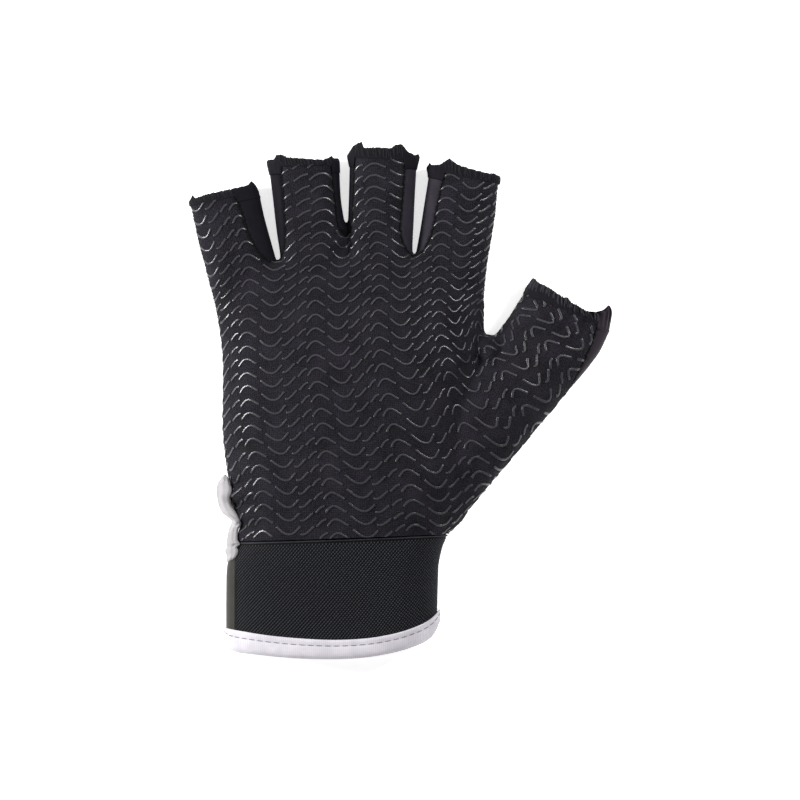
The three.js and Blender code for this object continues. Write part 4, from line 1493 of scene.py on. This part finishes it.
def cuff_elastic():
    """The woven elastic: a firm band, and the rows of slanted yarn floats that stand on it."""
    count = 220
    depths = [*TUCKED, (0.003, 0.3, 1.7), (0.01, 0.06, ELASTIC), (0.025, 0.06, ELASTIC)]
    depths += [(share, 0.16, ELASTIC) for share in np.linspace(0.035, 1.0, 32)]
    obj, outer = band("woven_elastic_band", elastic_turns, count, depths)
    shade(obj, 60)
    finish_piece(obj, "woven_elastic", "woven_elastic", "cuff_elastic")
    surface = outer[5:]
    shares = np.array([row[0] for row in depths[5:]])
    arc = chord(surface[len(surface) // 2])
    across_pitch, down_pitch = 1.24, 0.7  # of the yarn floats
    places, ahead, up = [], [], []
    height = abs(surface[-1, :, 1] - surface[0, :, 1]).max()
    rows = int(height / down_pitch)
    for j in range(rows):
        place = np.interp((j + 0.5) / rows, [0, 1], [0, len(shares) - 1.001])
        low = int(place)
        ring = surface[low] + (surface[low + 1] - surface[low]) * (place - low)
        below = surface[low + 1] - surface[low]
        along = chord(ring)
        # The columns are counted from the middle of the cuff's crown, where x falls along the ring
        over = ring[:, 2] > SEAM_Z + 6
        crown = np.interp(-CUFF_MIDDLE[0], -ring[over, 0], along[over])
        first = (crown % across_pitch + across_pitch * 0.5 * (j % 2)) % across_pitch
        at = np.arange(first, along[-1], across_pitch)
        spot = sampled(ring, along, at)
        down = unit(sampled(below, along, at), 1e-9)
        run = unit(np.gradient(spot, axis=0))
        face = np.cross(down, run)
        face *= np.sign((face * (spot - CUFF_MIDDLE)).sum(axis=1, keepdims=True))
        places.append(spot + face * 0.03)
        ahead.append(-run * 0.62 - down * 0.6)
        up.append(face)
    top = 0.012  # the share of the way down where the woven edge lies
    edge = cuff_ring(top, 0.0, np.linspace(*elastic_turns(top), 160))
    selvedge = cords("elastic_selvedge", edge[None], away_from_middle(edge)[None], 0.26)
    shade(selvedge)
    finish_piece(selvedge, "elastic_float", "woven_elastic")
    directions = np.vstack(ahead), np.vstack(up)
    floats = strew("elastic_yarn_floats", capsule(0.27, 0.84), np.vstack(places), *directions)
    shade(floats, 80)
    finish_piece(floats, "elastic_float", "woven_elastic")
    size = (arc[-1] * MM, height * MM)
    sheet_facts(obj, size, size[0] * size[1])
    return obj


def wrist_strap():
    """The smooth strap: it wraps the cuff's left edge and its back."""
    depths = [*TUCKED, (0.003, 0.4, 1.7), (0.01, 0.0, ELASTIC), (0.03, -STRAP_PROUD, ELASTIC)]
    depths += [(share, -STRAP_PROUD - 0.1, ELASTIC) for share in np.linspace(0.06, 0.97, 30)]
    depths += [(0.99, -STRAP_PROUD, ELASTIC), (1.0, 0.1, 1.5)]
    obj, outer = band("coated_wrist_strap", strap_turns, 260, depths)
    soften_edges(obj, 0.3, 60)
    shade(obj, 50)
    finish_piece(obj, "strap", "strap", "wrist_strap")
    length = chord(outer[10])[-1]
    height = abs(outer[-1, :, 1] - outer[0, :, 1]).max()
    sheet_facts(obj, (length * MM, height * MM), length * height * MM * MM)


def cuff_binding():
    """White ribbed tape folded round the cuff's lower edge, with a row of stitches near its top."""
    around = turns(480)
    outside = -0.3 - BINDING
    inside_face = ELASTIC + 0.3 + BINDING

    def level(share):
        return lambda x: rim_y(x, "start") * (1 - share) + rim_y(x, "end") * share

    profile = [
        (0.0, -0.35),
        (0.0, outside + 0.5),
        (0.02, outside + 0.15),
        (0.07, outside),
        (0.15, outside),
        (0.24, outside + 0.02),
        (0.31, outside + 0.2),
        (0.38, outside + 0.02),
        (0.5, outside - 0.05),
        (0.65, outside - 0.05),
        (0.8, outside),
        (0.91, outside + 0.35),
        (0.97, outside + 0.9),
        (1.0, outside + 1.7),
        (1.0, inside_face - 1.7),
        (0.97, inside_face - 0.9),
        (0.9, inside_face - 0.3),
        (0.75, inside_face),
        (0.35, inside_face),
        (0.0, inside_face),
        (0.0, ELASTIC + 0.35),
        (0.25, ELASTIC + 0.3),
        (0.42, ELASTIC + 0.2),
        (0.42, -0.2),
        (0.25, -0.3),
    ]
    rings = np.array([cuff_ring(1.0, inset, around, level(share)) for share, inset in profile])
    obj = loft("white_cuff_tape", rings, loop=True)
    across = chord(np.array(profile) * [TAPE_SHOWS, 1.0])
    arc = chord(rings[8])
    store_flat(obj, arc[None, :], across[:, None])
    shade(obj, 60)
    finish_piece(obj, "binding", "binding", "cuff_binding")
    pitch = 3.1
    groove = cuff_ring(1.0, outside + 0.18, turns(960), level(0.31))
    along = chord(groove)
    at = np.arange(0, along[-1], pitch)
    spot = sampled(groove, along, at)
    run = sampled(groove, along, at + 0.4) - spot
    face = away_from_middle(spot)
    stitches = strew("binding_stitches", capsule(0.22, 2.2), spot[:-1], run[:-1], face[:-1])
    shade(stitches)
    finish_piece(stitches, "binding_thread", "binding")
    size = (float(arc[-1]) * MM, TAPE_WIDTH * MM)
    sheet_facts(obj, size, size[0] * size[1])


def vent_tape(*under):
    """The white taped edge of the vent: a soft folded tape that ripples down to the cuff."""
    rows = smooth_curve(VENT_TAPE, 0.35, np.arange(len(VENT_TAPE)) * 1.8)
    graph = bpy.context.evaluated_depsgraph_get()
    cloths = [BVHTree.FromObject(piece, graph) for piece in under]
    count = 48
    around = turns(count)
    rings = []
    for y, left, right, z, thick in rows:
        half = max(0.1, (right - left) / 2)
        cos, sin = np.cos(around), np.sin(around)
        x = (left + right) / 2 + half * np.sign(cos) * np.abs(cos) ** 0.8
        # A crease runs down the tape where its two halves fold together, and two cross it where it buckles
        crease = 0.45 * np.exp(-(((x - left - half * 1.15) / 0.55) ** 2)) * (sin > 0)
        for buckle_y in (-45.3, -52.4):
            crease += 0.55 * np.exp(-(((y - buckle_y - 0.35 * (x + 60.0)) / 0.6) ** 2)) * (sin > 0)
        pucker = 0.12 * np.sin(y * 2.1 + x * 0.9) * (sin > 0)
        height = z + thick * np.sign(sin) * np.abs(sin) ** 0.8 - crease + pucker
        rings.append(np.stack([x, np.full(count, y), height], axis=-1))
    rings = np.array(rings)
    # The tape lies over the edge of the palm and of the cuff, in one soft slope
    left_edge = rings[:, :, 0].min(axis=1, keepdims=True)
    share = (rings[:, :, 0] - left_edge) / (rings[:, :, 0].max(axis=1, keepdims=True) - left_edge)
    ramp = np.clip(share / 0.55, 0.0, 1.0)
    slope = ramp**2 * (3 - 2 * ramp)
    lift = np.zeros(len(rings))
    for j, ring in enumerate(rings):
        for i in range(1, count // 2):
            for cloth in cloths:
                start = Vector((ring[i, 0], ring[i, 1], 60.0)) * MM
                hit = cloth.ray_cast(start, Vector((0, 0, -1)))[0]
                if hit is not None:
                    wanted = hit.z / MM + 0.45 - ring[i, 2]
                    lift[j] = max(lift[j], wanted / max(slope[j, i], 0.35))
    for _ in range(4):
        lift[1:-1] = np.maximum(lift[1:-1], np.maximum(lift[:-2], lift[2:]) * 0.97)
    for _ in range(14):
        lift[1:-1] = (lift[:-2] + 2 * lift[1:-1] + lift[2:]) / 4
    upper = np.clip(0.75 + 0.5 * np.sin(around), 0.5, 1.0)
    rings[:, :, 2] += lift[:, None] * slope * upper
    obj = loft("white_vent_tape", rings, capped=True)
    apply_modifier(obj, "SMOOTH", factor=0.5, iterations=2)
    store_flat(obj, rings[:, :, 1], rings[:, :, 0])
    shade(obj, 60)
    finish_piece(obj, "vent_tape", "binding", "vent_binding")
    length = chord(np.array([[t.y, (t.left + t.right) / 2] for t in VENT_TAPE]))[-1]
    sheet_facts(obj, (VENT_TAPE_WIDTH * MM, float(length) * MM), half_surface(obj))


def placed(name, data, location):
    """A new object of a lamp or a camera, at its place."""
    made = bpy.data.objects.new(name, data)
    bpy.context.scene.collection.objects.link(made)
    made.location = location
    return made


def studio():
    """A pale floor, soft lights on both sides and above, and a camera straight over the glove."""
    bpy.ops.object.select_all(action="DESELECT")
    bpy.ops.mesh.primitive_plane_add(size=6.0, location=(0, 0, -0.0002))
    floor = bpy.context.object
    floor.name = "acrylic_floor"
    floor.data.materials.append(floor_acrylic())
    floor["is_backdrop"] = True
    # Name, place and size in metres, and power
    lights = [
        ("left_softbox", (-0.84, 0.14, 0.34), 0.2, 11.0),
        ("right_softbox", (0.53, 0.33, 0.66), 0.19, 4.9),
        ("rear_softbox", (0.0, 0.85, 1.1), 1.6, 5.2),
    ]
    for name, place, size, power in lights:
        light = bpy.data.lights.new(name, "AREA")
        light.shape = "SQUARE"
        light.size = size
        light.energy = power
        lamp = placed(name, light, place)
        lamp.rotation_euler = (-Vector(place)).to_track_quat("-Z", "Y").to_euler()
    world = bpy.data.worlds.new("pale_room")
    bpy.context.scene.world = world
    world.use_nodes = True
    background = world.node_tree.nodes["Background"]
    fill(world.node_tree, background, {"Color": linear("#ffffff"), "Strength": 0.42})
    lens = bpy.data.cameras.new("camera")
    lens.lens = 300.0
    lens.sensor_width = 36.0
    lens.clip_end = 20.0
    view_width, view_height = 0.288, 0.014  # in metres: what the picture spans, and at which height
    distance = view_width * lens.lens / lens.sensor_width
    bpy.context.scene.camera = placed("camera", lens, (0, 0, view_height + distance))
    bpy.context.scene.view_settings.view_transform = "Standard"


studio()
panels = hand_panels()
for digit_name, digit_form in DIGITS.items():
    hem(digit_name, digit_form)
band_of_elastic = cuff_elastic()
wrist_strap()
cuff_binding()
vent_tape(panels["palm_panel"], band_of_elastic)

boxes = {"cad": cad_box, "visual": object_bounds()}
{name: [list(corner) for corner in box] for name, box in boxes.items()}
